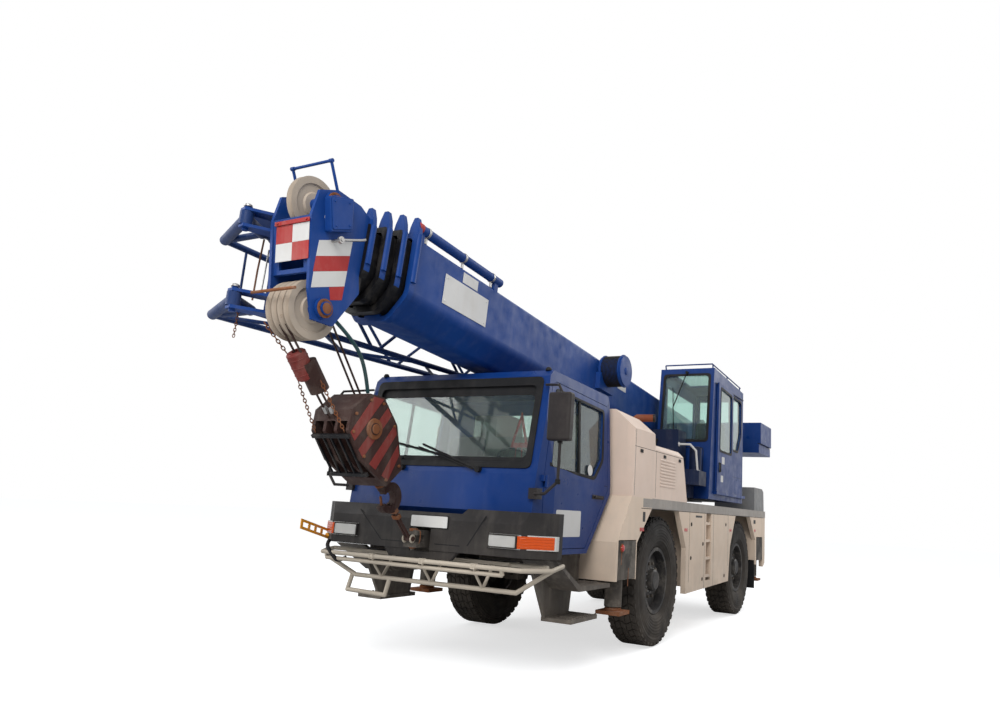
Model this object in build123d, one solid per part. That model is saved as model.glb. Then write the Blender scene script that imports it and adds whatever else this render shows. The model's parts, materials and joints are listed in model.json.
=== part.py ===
from build123d import *
import os
from math import asin, atan2, cos, degrees, hypot, radians, sin, sqrt

# Two-axle mobile crane with a four-part telescopic boom, as it drives: boom down over the cab, outriggers in.
# Millimetres. X is the machine's left, Y runs rearwards, Z is up from the ground. The model is drawn with
# Y = 0 at the front axle, and every piece is moved by MID_LENGTH as it is written, so that the files have
# their origin on the ground under the middle of the machine's length.

RUN = 0.3             # gap where one body rests against or turns in another
PIN_FIT = 0.05        # radial clearance of a pin in its bore

BODY_HALF = 1250      # half the road width

# Wheels and axles
WHEELBASE = 3500
TYRE_R = 683
TYRE_W = 370
TREAD_W = 300
SIDEWALL_R = 560
RIM_R = 330
RIM_WALL = 14
RIM_W = 290
WHEEL_X = BODY_HALF - 240
KINGPIN_X = WHEEL_X - 270
KINGPIN_R = 28
KNUCKLE_R = 78
KNUCKLE_H = 190
EAR_T = 45
SPINDLE_R = 55
HUB_R = 150
HUB_CAP_R = 115
HUB_CAP_X = WHEEL_X + 150
AXLE_R = 85
DIFF_R = 190

# Main frame and deck
FRAME_HALF = 390
FRAME_RAIL = 60
FRAME_LOW = 900
FRAME_FRONT = -2350
FRAME_REAR = WHEELBASE + 1520
DECK_LOW = 1450
DECK_TOP = 1555
SKIN = 60
PANEL_DEPTH = 390     # from the body's side in to the backs of the outrigger covers
ARCH_Y = 440          # top of a wheel arch, before and behind its axle
ARCH_END = 745        # foot of a wheel arch
DECK_FRONT = -1000
DECK_REAR = FRAME_REAR + 40
ENGINE_WELL = 700
LADDER_W = 230

# Outriggers: two chambers side by side in each box, one for each side's beam
BOX_WALL = 16
BEAM_W = 190
BEAM_H = 230
BEAM_LOW = 800
BEAM_GAP = 1.0
BOX_HALF = BODY_HALF - 250
BEAM_TAIL = BOX_HALF - 50
BOX_LOW = BEAM_LOW - BEAM_GAP - BOX_WALL
BOX_HIGH = BEAM_LOW + BEAM_H + BEAM_GAP + BOX_WALL
COVER_T = 14
COVER_GAP = 8
JACK_X = BODY_HALF - 130
JACK_R = 85
JACK_TOP = 1120
JACK_LOW = 500
JACK_ROD_R = 55
PAD_HALF = 125
PAD_T = 35
PAD_LOW = 430
FRONT_BOX_Y = -1078
REAR_BOX_Y = WHEELBASE + 1120

# Front cab
CAB_HALF = 1040
CAB_ROOF_HALF = CAB_HALF - 55
CAB_FRONT = -2540
CAB_REAR = -1090
CAB_FLOOR = 1000
CAB_BELT = 1660
CAB_ROOF = 2590
CAB_WALL = 40
PANE = 10
DOOR_GAP = 6
HINGE_X = CAB_HALF - 4
HINGE_Y = -2402
HINGE_R = 14
HINGE_PIN_R = 6
HINGE_L = 50
HINGE_LEVELS = (1140, 1560)
BUMPER_FRONT = -2700
BUMPER_LOW = 985
BUMPER_TOP = 1300
WING_TOP = 1345       # top of the bumper's two wings
WING_IN = 450         # where a wing ends and the lower middle starts
BUMPER_HALF = BODY_HALF - 10
BUMPER_CORNER = BODY_HALF - 240
CHIN_LOW = 915        # foot of the panel below the bumper's middle
JAW_FRONT = BUMPER_FRONT - 120
JAW_Z = 1075
JAW_HALF = 70
JAW_GAP = 60
JAW_PIN_R = 18

# Superstructure
SLEW_Y = WHEELBASE - 1000
RING_R = 620
RING_TOP = 1640
PLATFORM_TOP = 1800
CHEEK_IN = 335
CHEEK_T = 35
OPERATOR_IN = 400
OPERATOR_OUT = 1200
OPERATOR_WALL = 35
OPERATOR_LOW = 1640
COUNTER_HALF = 1250
COUNTER_FRONT = SLEW_Y + 2200
COUNTER_REAR = SLEW_Y + 3110
COUNTER_LOW = 2540
COUNTER_TOP = 3060
SLAB_T = 150
TANK_TOP = 1990

# Boom, in its own frame: the foot pin is at the origin and the boom lies along -Y
PIVOT_Y = SLEW_Y + 1300
PIVOT_Z = 2480
BOOM_ANGLE = 4
BOOM_HALF = 310
BOOM_TOP = 480
BOOM_FOLD = -20
BOOM_BELLY = -210
BELLY_HALF = 150
BOOM_WALL = 18
SECTION_STEP = 34
BOOM_TAIL = 180
BASE_FRONT = -7380
COLLAR_PITCH = 135
COLLAR_L = 60
COLLAR_PROUD = 26
POST_R = 28
POST_LOW = 80
HEAD_PIN_Y = -8063
HEAD_PIN_Z = -384
SHEAVE_R = 215
SHEAVE_W = 52
SHEAVE_PITCH = 58
SHEAVE_GROOVE = 30
SHEAVE_COUNT = 4
TOP_SHEAVE_Y = -8150
TOP_SHEAVE_Z = 395
HEAD_HALF = 200
HEAD_PLATE = 25
ROPE_R = 8

# Luffing cylinder: barrel pin on the turntable, rod eye in the boom's bracket
BARREL_PIN_Y = PIVOT_Y - 200
BARREL_PIN_Z = 1890
EYE_Y = -2400
EYE_Z = -350
BARREL_R = 80
LUFF_ROD_R = 52
EYE_R = 80
EYE_HALF = 48
CLEVIS_GAP = 10

# Folding jib, stowed along the boom's right side
HEAD_Y = PIVOT_Y + HEAD_PIN_Y * cos(radians(BOOM_ANGLE)) + HEAD_PIN_Z * sin(radians(BOOM_ANGLE))
HEAD_Z = PIVOT_Z - HEAD_PIN_Y * sin(radians(BOOM_ANGLE)) + HEAD_PIN_Z * cos(radians(BOOM_ANGLE))
JIB_PIN_X = -350
JIB_PIN_Y = round(HEAD_Y) - 290
JIB_PIN_R = 22
JIB_LUG_R = 48
JIB_LUG_HALF = 50
JIB_LOW = round(HEAD_Z) + 31
JIB_HIGH = JIB_LOW + 600
JIB_FOOT = JIB_PIN_Y + 260
JIB_REAR = JIB_FOOT + 6800
JIB_TUBE_R = 26
STOW_BACK = 1600      # stow bracket, behind the boom base's front
JIB_LACE_R = 15
JIB_BAYS = 10
JIB_NODE_GAP = 0.006    # of its length, from a bay's end to the end of its lacing

# Hook block, hanging from the lower head sheaves and drawn back to the tow jaw
BLOCK_START = 760
BLOCK_L = 700
BLOCK_HALF = 185
BLOCK_SHEAVE_R = 150
BLOCK_SHAFT = 250     # below the block's top
HOOK_OUTER_R = 125
HOOK_BOWL_R = 62
STROP_R = 13
STROP_Y = 25          # the strop's shackle, behind the line from the head shaft
STROP_AHEAD = 30      # the shackle's pin, in front of the jaw
PULL_Y = JAW_FRONT - STROP_AHEAD - HEAD_Y
PULL_Z = HEAD_Z - JAW_Z
STROP_Z = -sqrt(PULL_Y ** 2 + PULL_Z ** 2 - STROP_Y ** 2)
HOOK_ANGLE = degrees(atan2(PULL_Y, PULL_Z) - asin(STROP_Y / hypot(PULL_Y, PULL_Z)))

MID_LENGTH = (COUNTER_REAR + JIB_PIN_Y - JIB_LUG_R) / 2
MIRROR_PLANE = Plane.YZ


def box(x0, x1, y0, y1, z0, z1):
    return Pos((x0 + x1) / 2, (y0 + y1) / 2, (z0 + z1) / 2) * Box(abs(x1 - x0), abs(y1 - y0), abs(z1 - z0))


def cyl_x(x0, x1, y, z, r):
    return Pos((x0 + x1) / 2, y, z) * Rot(Y=90) * Cylinder(r, abs(x1 - x0))


def cyl_y(y0, y1, x, z, r):
    return Pos(x, (y0 + y1) / 2, z) * Rot(X=90) * Cylinder(r, abs(y1 - y0))


def cyl_z(z0, z1, x, y, r):
    return Pos(x, y, (z0 + z1) / 2) * Cylinder(r, abs(z1 - z0))


def rod(start, end, r):
    """Round bar between two points."""
    a, b = Vector(*start), Vector(*end)
    return Plane(origin=a, z_dir=b - a) * Cylinder(r, (b - a).length,
        align=(Align.CENTER, Align.CENTER, Align.MIN))


def bar(points, r):
    """Round bar along straight runs, with balls at the bends."""
    out = rod(points[0], points[1], r)
    for start, end in zip(points[1:], points[2:]):
        out += rod(start, end, r)
    for point in points[1:-1]:
        out += Pos(*point) * Sphere(r)
    return out


def side_prism(points, x0, x1):
    """A flat outline in Y and Z, made thick from x0 to x1."""
    return extrude(Plane.YZ.offset(x0) * Polygon(*points, align=None), x1 - x0, dir=(1, 0, 0))


def plan_prism(points, z0, z1):
    """A flat outline in X and Y, made thick from z0 to z1."""
    return extrude(Plane.XY.offset(z0) * Polygon(*points, align=None), z1 - z0, dir=(0, 0, 1))


def front_prism(face, y0, y1):
    """A face in X and Z made long from y0 to y1."""
    return extrude(Plane.XZ.offset(-y0) * face, y1 - y0, dir=(0, 1, 0))


def slewed(shape):
    """From the slewing axis to the machine."""
    return Pos(0, SLEW_Y, 0) * shape


def both(shape):
    """A shape and its mirror image on the other side."""
    return shape + mirror(shape, about=MIRROR_PLANE)


def flip(shape, side):
    """A shape drawn on the left, for side 1, or mirrored to the right, for side -1."""
    return shape if side > 0 else mirror(shape, about=MIRROR_PLANE)


def write(name, shape):
    solids = shape.solids()
    moved = Pos(0, -MID_LENGTH, 0) * (solids[0] if len(solids) == 1 else Compound(solids))
    moved.label = name
    export_step(moved, "parts/" + name + ".step")


# Axles, knuckles and wheels

def axle(y, z=TYRE_R):
    """Rigid beam with a differential housing, yokes at its ends and suspension struts up to the frame."""
    ear = KNUCKLE_H / 2 + RUN
    beam = cyl_x(-KINGPIN_X + 150, KINGPIN_X - 150, y, z, AXLE_R) + cyl_x(-120, 120, y, z, DIFF_R)
    yoke = box(KINGPIN_X - 190, KINGPIN_X - 120, y - 95, y + 95, z - ear - EAR_T, z + ear + EAR_T)
    for low in (z - ear - EAR_T, z + ear):
        yoke += box(KINGPIN_X - 150, KINGPIN_X, y - 70, y + 70, low, low + EAR_T)
        yoke += cyl_z(low, low + EAR_T, KINGPIN_X, y, 70)
    yoke -= cyl_z(z - 400, z + 400, KINGPIN_X, y, KINGPIN_R + PIN_FIT)
    strut = cyl_z(z, FRAME_LOW, FRAME_HALF - FRAME_RAIL, y, 50)
    return beam + both(yoke) + both(strut)


def knuckle(y, side, z=TYRE_R):
    """Steering knuckle with its king pins, the wheel's spindle and a steering arm."""
    body = cyl_z(z - KNUCKLE_H / 2, z + KNUCKLE_H / 2, KINGPIN_X, y, KNUCKLE_R)
    body += cyl_z(z - KNUCKLE_H / 2 - EAR_T - 12, z + KNUCKLE_H / 2 + EAR_T + 12, KINGPIN_X, y, KINGPIN_R)
    body += cyl_x(KINGPIN_X, WHEEL_X - 70 - RUN, y, z, 90)
    body += cyl_x(KINGPIN_X, WHEEL_X + 60, y, z, SPINDLE_R)
    body += box(KINGPIN_X - 40, KINGPIN_X + 20, y + 40, y + 250, z - 60, z - 20)
    return flip(body, side)


def wheel_ring(profile, y, z=TYRE_R):
    """A closed outline of (radius, offset outwards) turned about the wheel's axis."""
    face = Plane.XY * Polygon(*[(offset, radius) for radius, offset in profile], align=None)
    return Pos(WHEEL_X, y, z) * revolve(face, Axis.X)


def tyre(y, side):
    half, tread = TYRE_W / 2, TREAD_W / 2
    bead = RIM_W / 2 - RIM_WALL
    # radius, offset from the wheel's middle
    profile = [
        (RIM_R, -bead), (RIM_R + 24, -bead), (RIM_R + 60, -half + 25), (SIDEWALL_R - 60, -half),
        (SIDEWALL_R + 40, -half + 4),
        (TYRE_R - 18, -tread - 12), (TYRE_R, -tread + 25), (TYRE_R, tread - 25),
        (TYRE_R - 18, tread + 12), (SIDEWALL_R + 40, half - 4), (SIDEWALL_R - 60, half),
        (RIM_R + 60, half - 25), (RIM_R + 24, bead), (RIM_R, bead),
    ]
    return flip(wheel_ring(profile, y), side)


def rim(y, side):
    """Rim barrel with flanges, a dished disc, the hub and its cap, in one turned piece."""
    half = RIM_W / 2
    bead = half - RIM_WALL
    inner = RIM_R - RIM_WALL
    bore = SPINDLE_R + PIN_FIT
    # radius, offset from the wheel's middle; the disc lies near the middle, dished outwards
    profile = [
        (RIM_R, -bead), (RIM_R + 22, -bead), (RIM_R + 22, -half), (inner, -half), (inner, 20),
        (HUB_R + 60, 34), (HUB_R, 30), (HUB_R, -70), (bore, -70), (bore, 62), (0, 62),
        (0, HUB_CAP_X - WHEEL_X), (HUB_CAP_R - 20, HUB_CAP_X - WHEEL_X),
        (HUB_CAP_R, HUB_CAP_X - WHEEL_X - 20),
        (HUB_CAP_R, 80), (HUB_R, 75), (HUB_R + 60, 64), (inner, 45), (inner, half), (RIM_R + 22, half),
        (RIM_R + 22, bead), (RIM_R, bead),
    ]
    turned = wheel_ring(profile, y)
    nut_circle = HUB_R + 30
    for k in range(10):
        angle = radians(36 * k)
        turned += cyl_x(WHEEL_X + 55, WHEEL_X + 88, y + nut_circle * cos(angle),
            TYRE_R + nut_circle * sin(angle), 13)
    return flip(turned, side)


# Main frame, deck and body panels

def carrier_frame():
    """Deep main box behind the front outrigger, a low frame under the cab, and the tow jaw in front."""
    box_front, box_rear = outrigger_ends(FRONT_BOX_Y)
    tail_front, tail_rear = outrigger_ends(REAR_BOX_Y)
    outline = [
        (box_front, BOX_HIGH), (box_rear, BOX_HIGH), (box_rear, FRAME_LOW), (tail_front, FRAME_LOW),
        (tail_front, BOX_HIGH), (tail_rear, BOX_HIGH), (tail_rear, FRAME_LOW), (FRAME_REAR, FRAME_LOW),
        (FRAME_REAR, DECK_LOW), (box_front + 190, DECK_LOW), (box_front, 1250),
    ]
    beam = side_prism(outline, -FRAME_HALF, FRAME_HALF)
    hollow = FRAME_HALF - FRAME_RAIL
    # start and end of each open bay between cross walls
    for start, end in ((box_rear + 120, SLEW_Y - RING_R - 130), (SLEW_Y + RING_R + 130, tail_front - 160)):
        beam -= box(-hollow, hollow, start, end, FRAME_LOW - 1, DECK_LOW + 1)
    beam += cyl_z(DECK_LOW, DECK_TOP, 0, SLEW_Y, RING_R)
    low = box(-FRAME_HALF, FRAME_HALF, FRAME_FRONT, box_front, BOX_LOW, CAB_FLOOR)
    low -= box(-hollow, hollow, FRAME_FRONT + 100, box_front - 60, BOX_LOW - 1, CAB_FLOOR + 1)
    low += box(-FRAME_HALF, FRAME_HALF, box_front - 60, box_front, CAB_FLOOR - 10, 1200)
    nose_y = BUMPER_FRONT + 120
    low += box(-260, 260, nose_y, FRAME_FRONT, 930, 1000) + box(-150, 150, nose_y, nose_y + 40, 930, 1200)
    jaw = box(-JAW_HALF, JAW_HALF, JAW_FRONT, nose_y, JAW_Z - JAW_HALF, JAW_Z + JAW_HALF)
    jaw -= box(-JAW_HALF - 1, JAW_HALF + 1, JAW_FRONT - 1, JAW_FRONT + 90, JAW_Z - JAW_GAP / 2,
        JAW_Z + JAW_GAP / 2)
    jaw += cyl_z(JAW_Z - 95, JAW_Z + 95, 0, JAW_FRONT + 38, JAW_PIN_R)
    return beam + low + jaw


def front_panels():
    """Cover over the front outrigger, leaning back above the cab's door line."""
    front, rear = FRONT_BOX_Y - 257, FRONT_BOX_Y + 243
    outline = [
        (front, 750), (front, 1110), (front + 325, DECK_TOP), (-ARCH_Y, DECK_TOP), (-ARCH_Y, DECK_LOW),
        (rear, 1100), (rear, 750),
    ]
    inner = BODY_HALF - PANEL_DEPTH
    block = side_prism(outline, inner, BODY_HALF)
    y0, y1, z0, z1 = jack_bay(FRONT_BOX_Y)
    well = box(inner - 1, BODY_HALF - 40, y0 + 110, y1 - 110, z0, z1 + 25)
    return block - box(inner - 1, BODY_HALF + 1, y0, y1, z0, z1) - well


def jack_bay(y):
    """Opening in the side that the jack and the beam's cover pass through."""
    return y - 225, y + 225, 700, 1130


def middle_panels():
    """Lockers between the wheels, with a ladder let into them."""
    front, rear, low = ARCH_END, WHEELBASE - ARCH_END, 475
    outline = [
        (ARCH_Y, DECK_LOW), (front - 10, 1020), (front, low + 20), (rear - 90, low + 60), (rear, 1010),
        (WHEELBASE - ARCH_Y, DECK_LOW),
    ]
    skin = side_prism(outline, BODY_HALF - SKIN, BODY_HALF)
    locker = [(front + 160, DECK_LOW), (front + 160, 560), (rear - 160, 560), (rear - 160, DECK_LOW)]
    panel = skin + side_prism(locker, FRAME_HALF + 60, BODY_HALF - SKIN)
    return ladder(panel, WHEELBASE / 2 - 190)


def ladder(panel, y):
    """A recess let into a side panel, with rungs across it."""
    back = BODY_HALF - 130
    panel -= box(back, BODY_HALF + 1, y, y + LADDER_W, 600, DECK_LOW)
    for z in (640, 860, 1080, 1300):
        panel += box(back, BODY_HALF - 8, y, y + LADDER_W, z, z + 34)
    return panel


def rear_panels():
    """Body behind the rear wheels: cover of the rear outrigger, ladder and mud flap."""
    start = WHEELBASE + 835
    outline = [
        (WHEELBASE + ARCH_Y, DECK_LOW), (start, 1080), (start, 700), (DECK_REAR - 160, 640),
        (DECK_REAR - 40, 700),
        (DECK_REAR - 20, DECK_LOW),
    ]
    block = side_prism(outline, BODY_HALF - SKIN, BODY_HALF)
    y0, y1, z0, z1 = jack_bay(REAR_BOX_Y)
    block -= box(BODY_HALF - SKIN - 1, BODY_HALF + 1, y0, y1, 600, z1)
    flap_in, flap_out = BODY_HALF - 410, BODY_HALF - 20
    flap = box(flap_in, flap_out, start, start + 12, 330, 760)
    flap += box(flap_in, flap_out, start, start + 40, 760, DECK_LOW)
    return block + flap


def deck():
    """Walkway with its deep side beams, open over the slewing ring."""
    plate = box(-BODY_HALF, BODY_HALF, DECK_FRONT + 560, DECK_REAR, DECK_LOW, DECK_TOP)
    plate -= cyl_z(DECK_LOW - 1, DECK_TOP + 1, 0, SLEW_Y, RING_R + 30)
    well = FRAME_HALF - FRAME_RAIL
    return plate - box(-well, well, DECK_FRONT, ENGINE_WELL, DECK_LOW - 1, DECK_TOP + 1)


def rear_locker():
    """Grey bins behind the turntable, one on each side."""
    front, rear = DECK_REAR - 730, DECK_REAR - 20
    outline = [(front, DECK_TOP), (front, 1930), (rear - 140, 1930), (rear - 30, 1880), (rear, 1600),
        (rear, DECK_TOP)]
    bins = both(side_prism(outline, BODY_HALF - 690, BODY_HALF - 20))
    lamps = both(box(BODY_HALF - 490, BODY_HALF - 70, DECK_REAR - 20, DECK_REAR + 30, 1180, 1330))
    return bins + lamps + box(-BODY_HALF + SKIN, BODY_HALF - SKIN, DECK_REAR - 40, DECK_REAR - 20, 1000,
        DECK_LOW)


def outrigger_ends(y):
    """Front and rear faces of a cross box."""
    half = BEAM_W + BOX_WALL * 1.5 + 2 * BEAM_GAP
    return y - half, y + half


def outrigger_box(y):
    """Welded cross box with a chamber for each side's beam."""
    shell = box(-BOX_HALF, BOX_HALF, *outrigger_ends(y), BOX_LOW, BOX_HIGH)
    for side in (1, -1):
        centre = y + side * (BEAM_W / 2 + BOX_WALL / 2 + BEAM_GAP)
        half = BEAM_W / 2 + BEAM_GAP
        shell -= box(-BOX_HALF - 1, BOX_HALF + 1, centre - half, centre + half, BEAM_LOW - BEAM_GAP + 0.7,
            BEAM_LOW + BEAM_H + BEAM_GAP)
    return shell


def beam_y(y, side):
    return y + side * (BEAM_W / 2 + BOX_WALL / 2 + BEAM_GAP)


def outrigger_beam(y, side):
    """Box beam with the jack's barrel at its outer end. The left one runs in the front chamber."""
    centre = beam_y(y, -1)
    top = BEAM_LOW + BEAM_H
    body = box(-BEAM_TAIL, JACK_X, centre - BEAM_W / 2, centre + BEAM_W / 2, BEAM_LOW, top)
    body += box(JACK_X - 100, JACK_X, y - BEAM_W, y + BEAM_W, BEAM_LOW, top)
    body += cyl_z(JACK_LOW, JACK_TOP, JACK_X, y, JACK_R)
    body -= cyl_z(JACK_LOW - 1, JACK_TOP - 30, JACK_X, y, JACK_ROD_R + PIN_FIT)
    y0, y1, z0, z1 = jack_bay(y)
    body += box(BODY_HALF - COVER_T, BODY_HALF, y0 + COVER_GAP, y1 - COVER_GAP, 760, z1 - COVER_GAP)
    body += box(JACK_X + JACK_R - 12, BODY_HALF - COVER_T, y - 40, y + 40, BEAM_LOW, top)
    return body if side > 0 else Pos(0, y, 0) * Rot(Z=180) * Pos(0, -y, 0) * body


def jack(y, side):
    """Jack rod with its square foot."""
    stem = cyl_z(PAD_LOW + PAD_T, JACK_TOP - 60, JACK_X, y, JACK_ROD_R)
    foot = box(JACK_X - PAD_HALF, JACK_X + PAD_HALF, y - PAD_HALF, y + PAD_HALF, PAD_LOW, PAD_LOW + PAD_T)
    foot += cyl_z(PAD_LOW, PAD_LOW + 60, JACK_X, y, 80)
    return flip(stem + foot, side)


# Front cab

def cab_solid(inset):
    """The cab's outside, drawn in by an even inset."""
    i = inset
    outline = [
        (CAB_FRONT + i, 1340 + i * 0.3), (CAB_FRONT + 30 + i, CAB_BELT), (-2360 + i, CAB_ROOF - 60),
        (-2300 + i, CAB_ROOF - i),
        (CAB_REAR - 40 - i, CAB_ROOF - 40 - i), (CAB_REAR - i, CAB_ROOF - 110),
        (CAB_REAR - i, 1560 + i * 0.4),
        (-1560 - i * 0.5, CAB_FLOOR + i), (-2420 + i, CAB_FLOOR + i), (CAB_FRONT + 90 + i, 1250),
    ]
    body = side_prism(outline, -CAB_HALF + i, CAB_HALF - i)
    lean = (CAB_HALF - CAB_ROOF_HALF) / (CAB_ROOF - CAB_BELT)
    high = CAB_ROOF + 200
    over = (high - CAB_BELT) * lean
    wedge = Polygon(
        (CAB_HALF - i, CAB_BELT), (CAB_HALF + 100, CAB_BELT), (CAB_HALF + 100, high),
        (CAB_HALF - i - over, high), align=None
    )
    trim = front_prism(wedge, -3000, 0)
    nose = [(CAB_HALF - i, -2250), (CAB_HALF - 75 - i, -2700), (CAB_HALF + 100, -2700)]
    taper = plan_prism(nose, CAB_FLOOR - 100, CAB_ROOF + 200)
    return body - both(trim) - both(taper)


DOOR_OUTLINE = [
    (-2405, 1045), (-1600, 1045), (-1150, 1590), (-1150, 2440), (-2250, 2495), (-2330, 2440), (-2405, 1700),
]
DOOR_WINDOW = [(-2320, 1740), (-1480, 1700), (-1290, 1880), (-1250, 2370), (-2235, 2420)]
SCREEN_HALF = CAB_HALF - 140
REAR_SCREEN_HALF = 650


def grown(points, by):
    """An outline made larger, or smaller for a negative value, all round."""
    return offset(Polygon(*points, align=None), by, kind=Kind.INTERSECTION)


def side_cut(sketch, x0, x1):
    return extrude(Plane.YZ.offset(x0) * sketch, x1 - x0, dir=(1, 0, 0))


def cab_shell_solid():
    return cab_solid(0) - cab_solid(CAB_WALL)


def cab_window(y0, y1, half, z0, z1):
    return box(-half, half, y0, y1, z0, z1)


def front_cab():
    """Shell, doors and panes. The doors are cut out of the shell; the panes lie inside its wall."""
    shell = cab_shell_solid()
    pane_layer = cab_solid(CAB_WALL / 2) - cab_solid(CAB_WALL / 2 + PANE)
    screen = cab_window(CAB_FRONT - 20, -2250, SCREEN_HALF, 1730, 2470)
    rear_screen = cab_window(CAB_REAR - 100, CAB_REAR + 20, REAR_SCREEN_HALF, 1900, 2360)
    doorway = side_cut(grown(DOOR_OUTLINE, 0), CAB_HALF - 250, CAB_HALF + 20)
    leaf = side_cut(grown(DOOR_OUTLINE, -DOOR_GAP), CAB_HALF - 250, CAB_HALF + 20)
    window = side_cut(grown(DOOR_WINDOW, 0), CAB_HALF - 250, CAB_HALF + 20)
    side_wall = shell & box(
        CAB_HALF - 110, CAB_HALF + 10, -2600, CAB_REAR - CAB_WALL - 1, CAB_FLOOR + CAB_WALL + 1, CAB_ROOF - 75
    )
    door = (side_wall & leaf) - window
    pane = (pane_layer & box(CAB_HALF - 110, CAB_HALF + 10, -2600, CAB_REAR, CAB_FLOOR, CAB_ROOF)) & window
    panes = (pane_layer & screen) + (pane_layer & rear_screen)
    body = shell - screen - rear_screen
    body -= both(doorway & box(CAB_HALF - 110, CAB_HALF + 30, -2600, CAB_REAR, CAB_FLOOR + CAB_WALL,
        CAB_ROOF - 60))
    moving, fixed = door_hinges()
    return body + both(fixed), panes, door + moving, pane


def hinge_part(z, gap_y, reach_y):
    """One barrel of a door hinge with the tongue that carries it."""
    tongue = box(CAB_HALF - CAB_WALL, HINGE_X, gap_y, reach_y, z, z + HINGE_L)
    return tongue + cyl_z(z, z + HINGE_L, HINGE_X, HINGE_Y, HINGE_R)


def door_hinges():
    """The door's barrels, and the cab's barrels above them with their pins."""
    moving, fixed = None, None
    for z in HINGE_LEVELS:
        low = hinge_part(z, HINGE_Y + 4, HINGE_Y + 42)
        low -= cyl_z(z - 1, z + HINGE_L + 1, HINGE_X, HINGE_Y, HINGE_PIN_R + PIN_FIT)
        high = hinge_part(z + HINGE_L + RUN, HINGE_Y - 40, HINGE_Y - 4)
        high += cyl_z(z, z + HINGE_L * 2, HINGE_X, HINGE_Y, HINGE_PIN_R)
        moving = low if moving is None else moving + low
        fixed = high if fixed is None else fixed + high
    return moving, fixed


def cab_interior():
    """Dashboard with the steering wheel, and two seats on the cab's floor."""
    floor = CAB_FLOOR + CAB_WALL
    half = CAB_HALF - 110
    driver = CAB_HALF / 2
    dash = side_prism([(-2450, 1400), (-2440, 1700), (-2160, 1640), (-2120, 1560), (-2300, 1400)],
        -half, half)
    dash += box(-half, half, -2370, -2330, floor, 1420)
    column = rod((driver, -2250, 1500), (driver, -2010, 1760), 25)
    wheel = Torus(215, 14) + Box(420, 30, 16) + Cylinder(50, 20)
    ring = Plane(origin=(driver, -2010, 1760), z_dir=(0, 0.68, 0.73)) * wheel
    seats = None
    for x in (-driver, driver):
        seat = box(x - 180, x + 180, -1880, -1640, floor, 1330) + \
            box(x - 240, x + 240, -1920, -1440, 1330, 1480)
        seat += side_prism([(-1540, 1475), (-1420, 2120), (-1320, 2120), (-1430, 1400)], x - 230, x + 230)
        seats = seat if seats is None else seats + seat
    return dash + column + ring + seats


def bumper():
    """Wide plastic bumper: two wings over a lower middle, a chin, and openings for lamps and tow jaw."""
    rear = HINGE_Y - 30
    end = BUMPER_FRONT + 190
    plan = [
        (-BUMPER_HALF, rear), (-BUMPER_HALF, end), (-BUMPER_CORNER, BUMPER_FRONT),
        (BUMPER_CORNER, BUMPER_FRONT),
        (BUMPER_HALF, end), (BUMPER_HALF, rear),
    ]
    whole = plan_prism(plan, BUMPER_LOW, WING_TOP)
    side, corner = BUMPER_HALF - 50, BUMPER_CORNER - 25
    inner = [
        (-side, rear + 1), (-side, end + 30), (-corner, BUMPER_FRONT + 70), (corner, BUMPER_FRONT + 70),
        (side, end + 30), (side, rear + 1),
    ]
    whole -= plan_prism(inner, BUMPER_LOW - 1, BUMPER_TOP - 70)
    drop = WING_TOP - BUMPER_TOP
    middle = [(-WING_IN, WING_TOP + 1), (-WING_IN + drop, BUMPER_TOP), (WING_IN - drop, BUMPER_TOP),
        (WING_IN, WING_TOP + 1)]
    whole -= front_prism(Polygon(*middle, align=None), BUMPER_FRONT - 1, rear + 1)
    chamfer = [(BUMPER_FRONT - 1, 1240), (BUMPER_FRONT - 1, WING_TOP + 60),
        (BUMPER_FRONT + 60, WING_TOP + 60)]
    whole -= side_prism(chamfer, -BUMPER_HALF - 1, BUMPER_HALF + 1)
    lean = [(BUMPER_FRONT + 140, WING_TOP + 1), (rear + 1, WING_TOP + 1), (rear + 1, 1180),
        (BUMPER_FRONT + 200, 1180)]
    whole -= side_prism(lean, -CAB_HALF - 20, CAB_HALF + 20)
    whole -= both(lamp_block(0))
    chin = Polygon((-400, BUMPER_LOW + 15), (400, BUMPER_LOW + 15), (330, CHIN_LOW), (-330, CHIN_LOW),
        align=None)
    whole += front_prism(chin, BUMPER_FRONT + 10, BUMPER_FRONT + 50)
    whole -= box(-110, 110, BUMPER_FRONT - 1, BUMPER_FRONT + 80, 970, 1180)
    return whole + both(box(200, 240, BUMPER_FRONT + 60, BUMPER_FRONT + 220, 1000, 1170))


def lamp_block(gap):
    """Space of one pair of front lamps, which reaches round the bumper's corner."""
    inner, corner, side = BODY_HALF - 550 + gap, BUMPER_CORNER - 7, BUMPER_HALF + 20
    back = BUMPER_FRONT + 45
    plan = [
        (inner, BUMPER_FRONT - 1), (corner, BUMPER_FRONT - 1), (side, BUMPER_FRONT + 183),
        (side, BUMPER_FRONT + 230),
        (BUMPER_CORNER - 25, back), (inner, back),
    ]
    return plan_prism(plan, 1050 + gap, 1165 - gap)


def headlamps():
    reach = box(BODY_HALF - 560, BUMPER_HALF - 2, BUMPER_FRONT + 4, BUMPER_FRONT + 300, 1040, 1180)
    return both(lamp_block(0) & reach)


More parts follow.
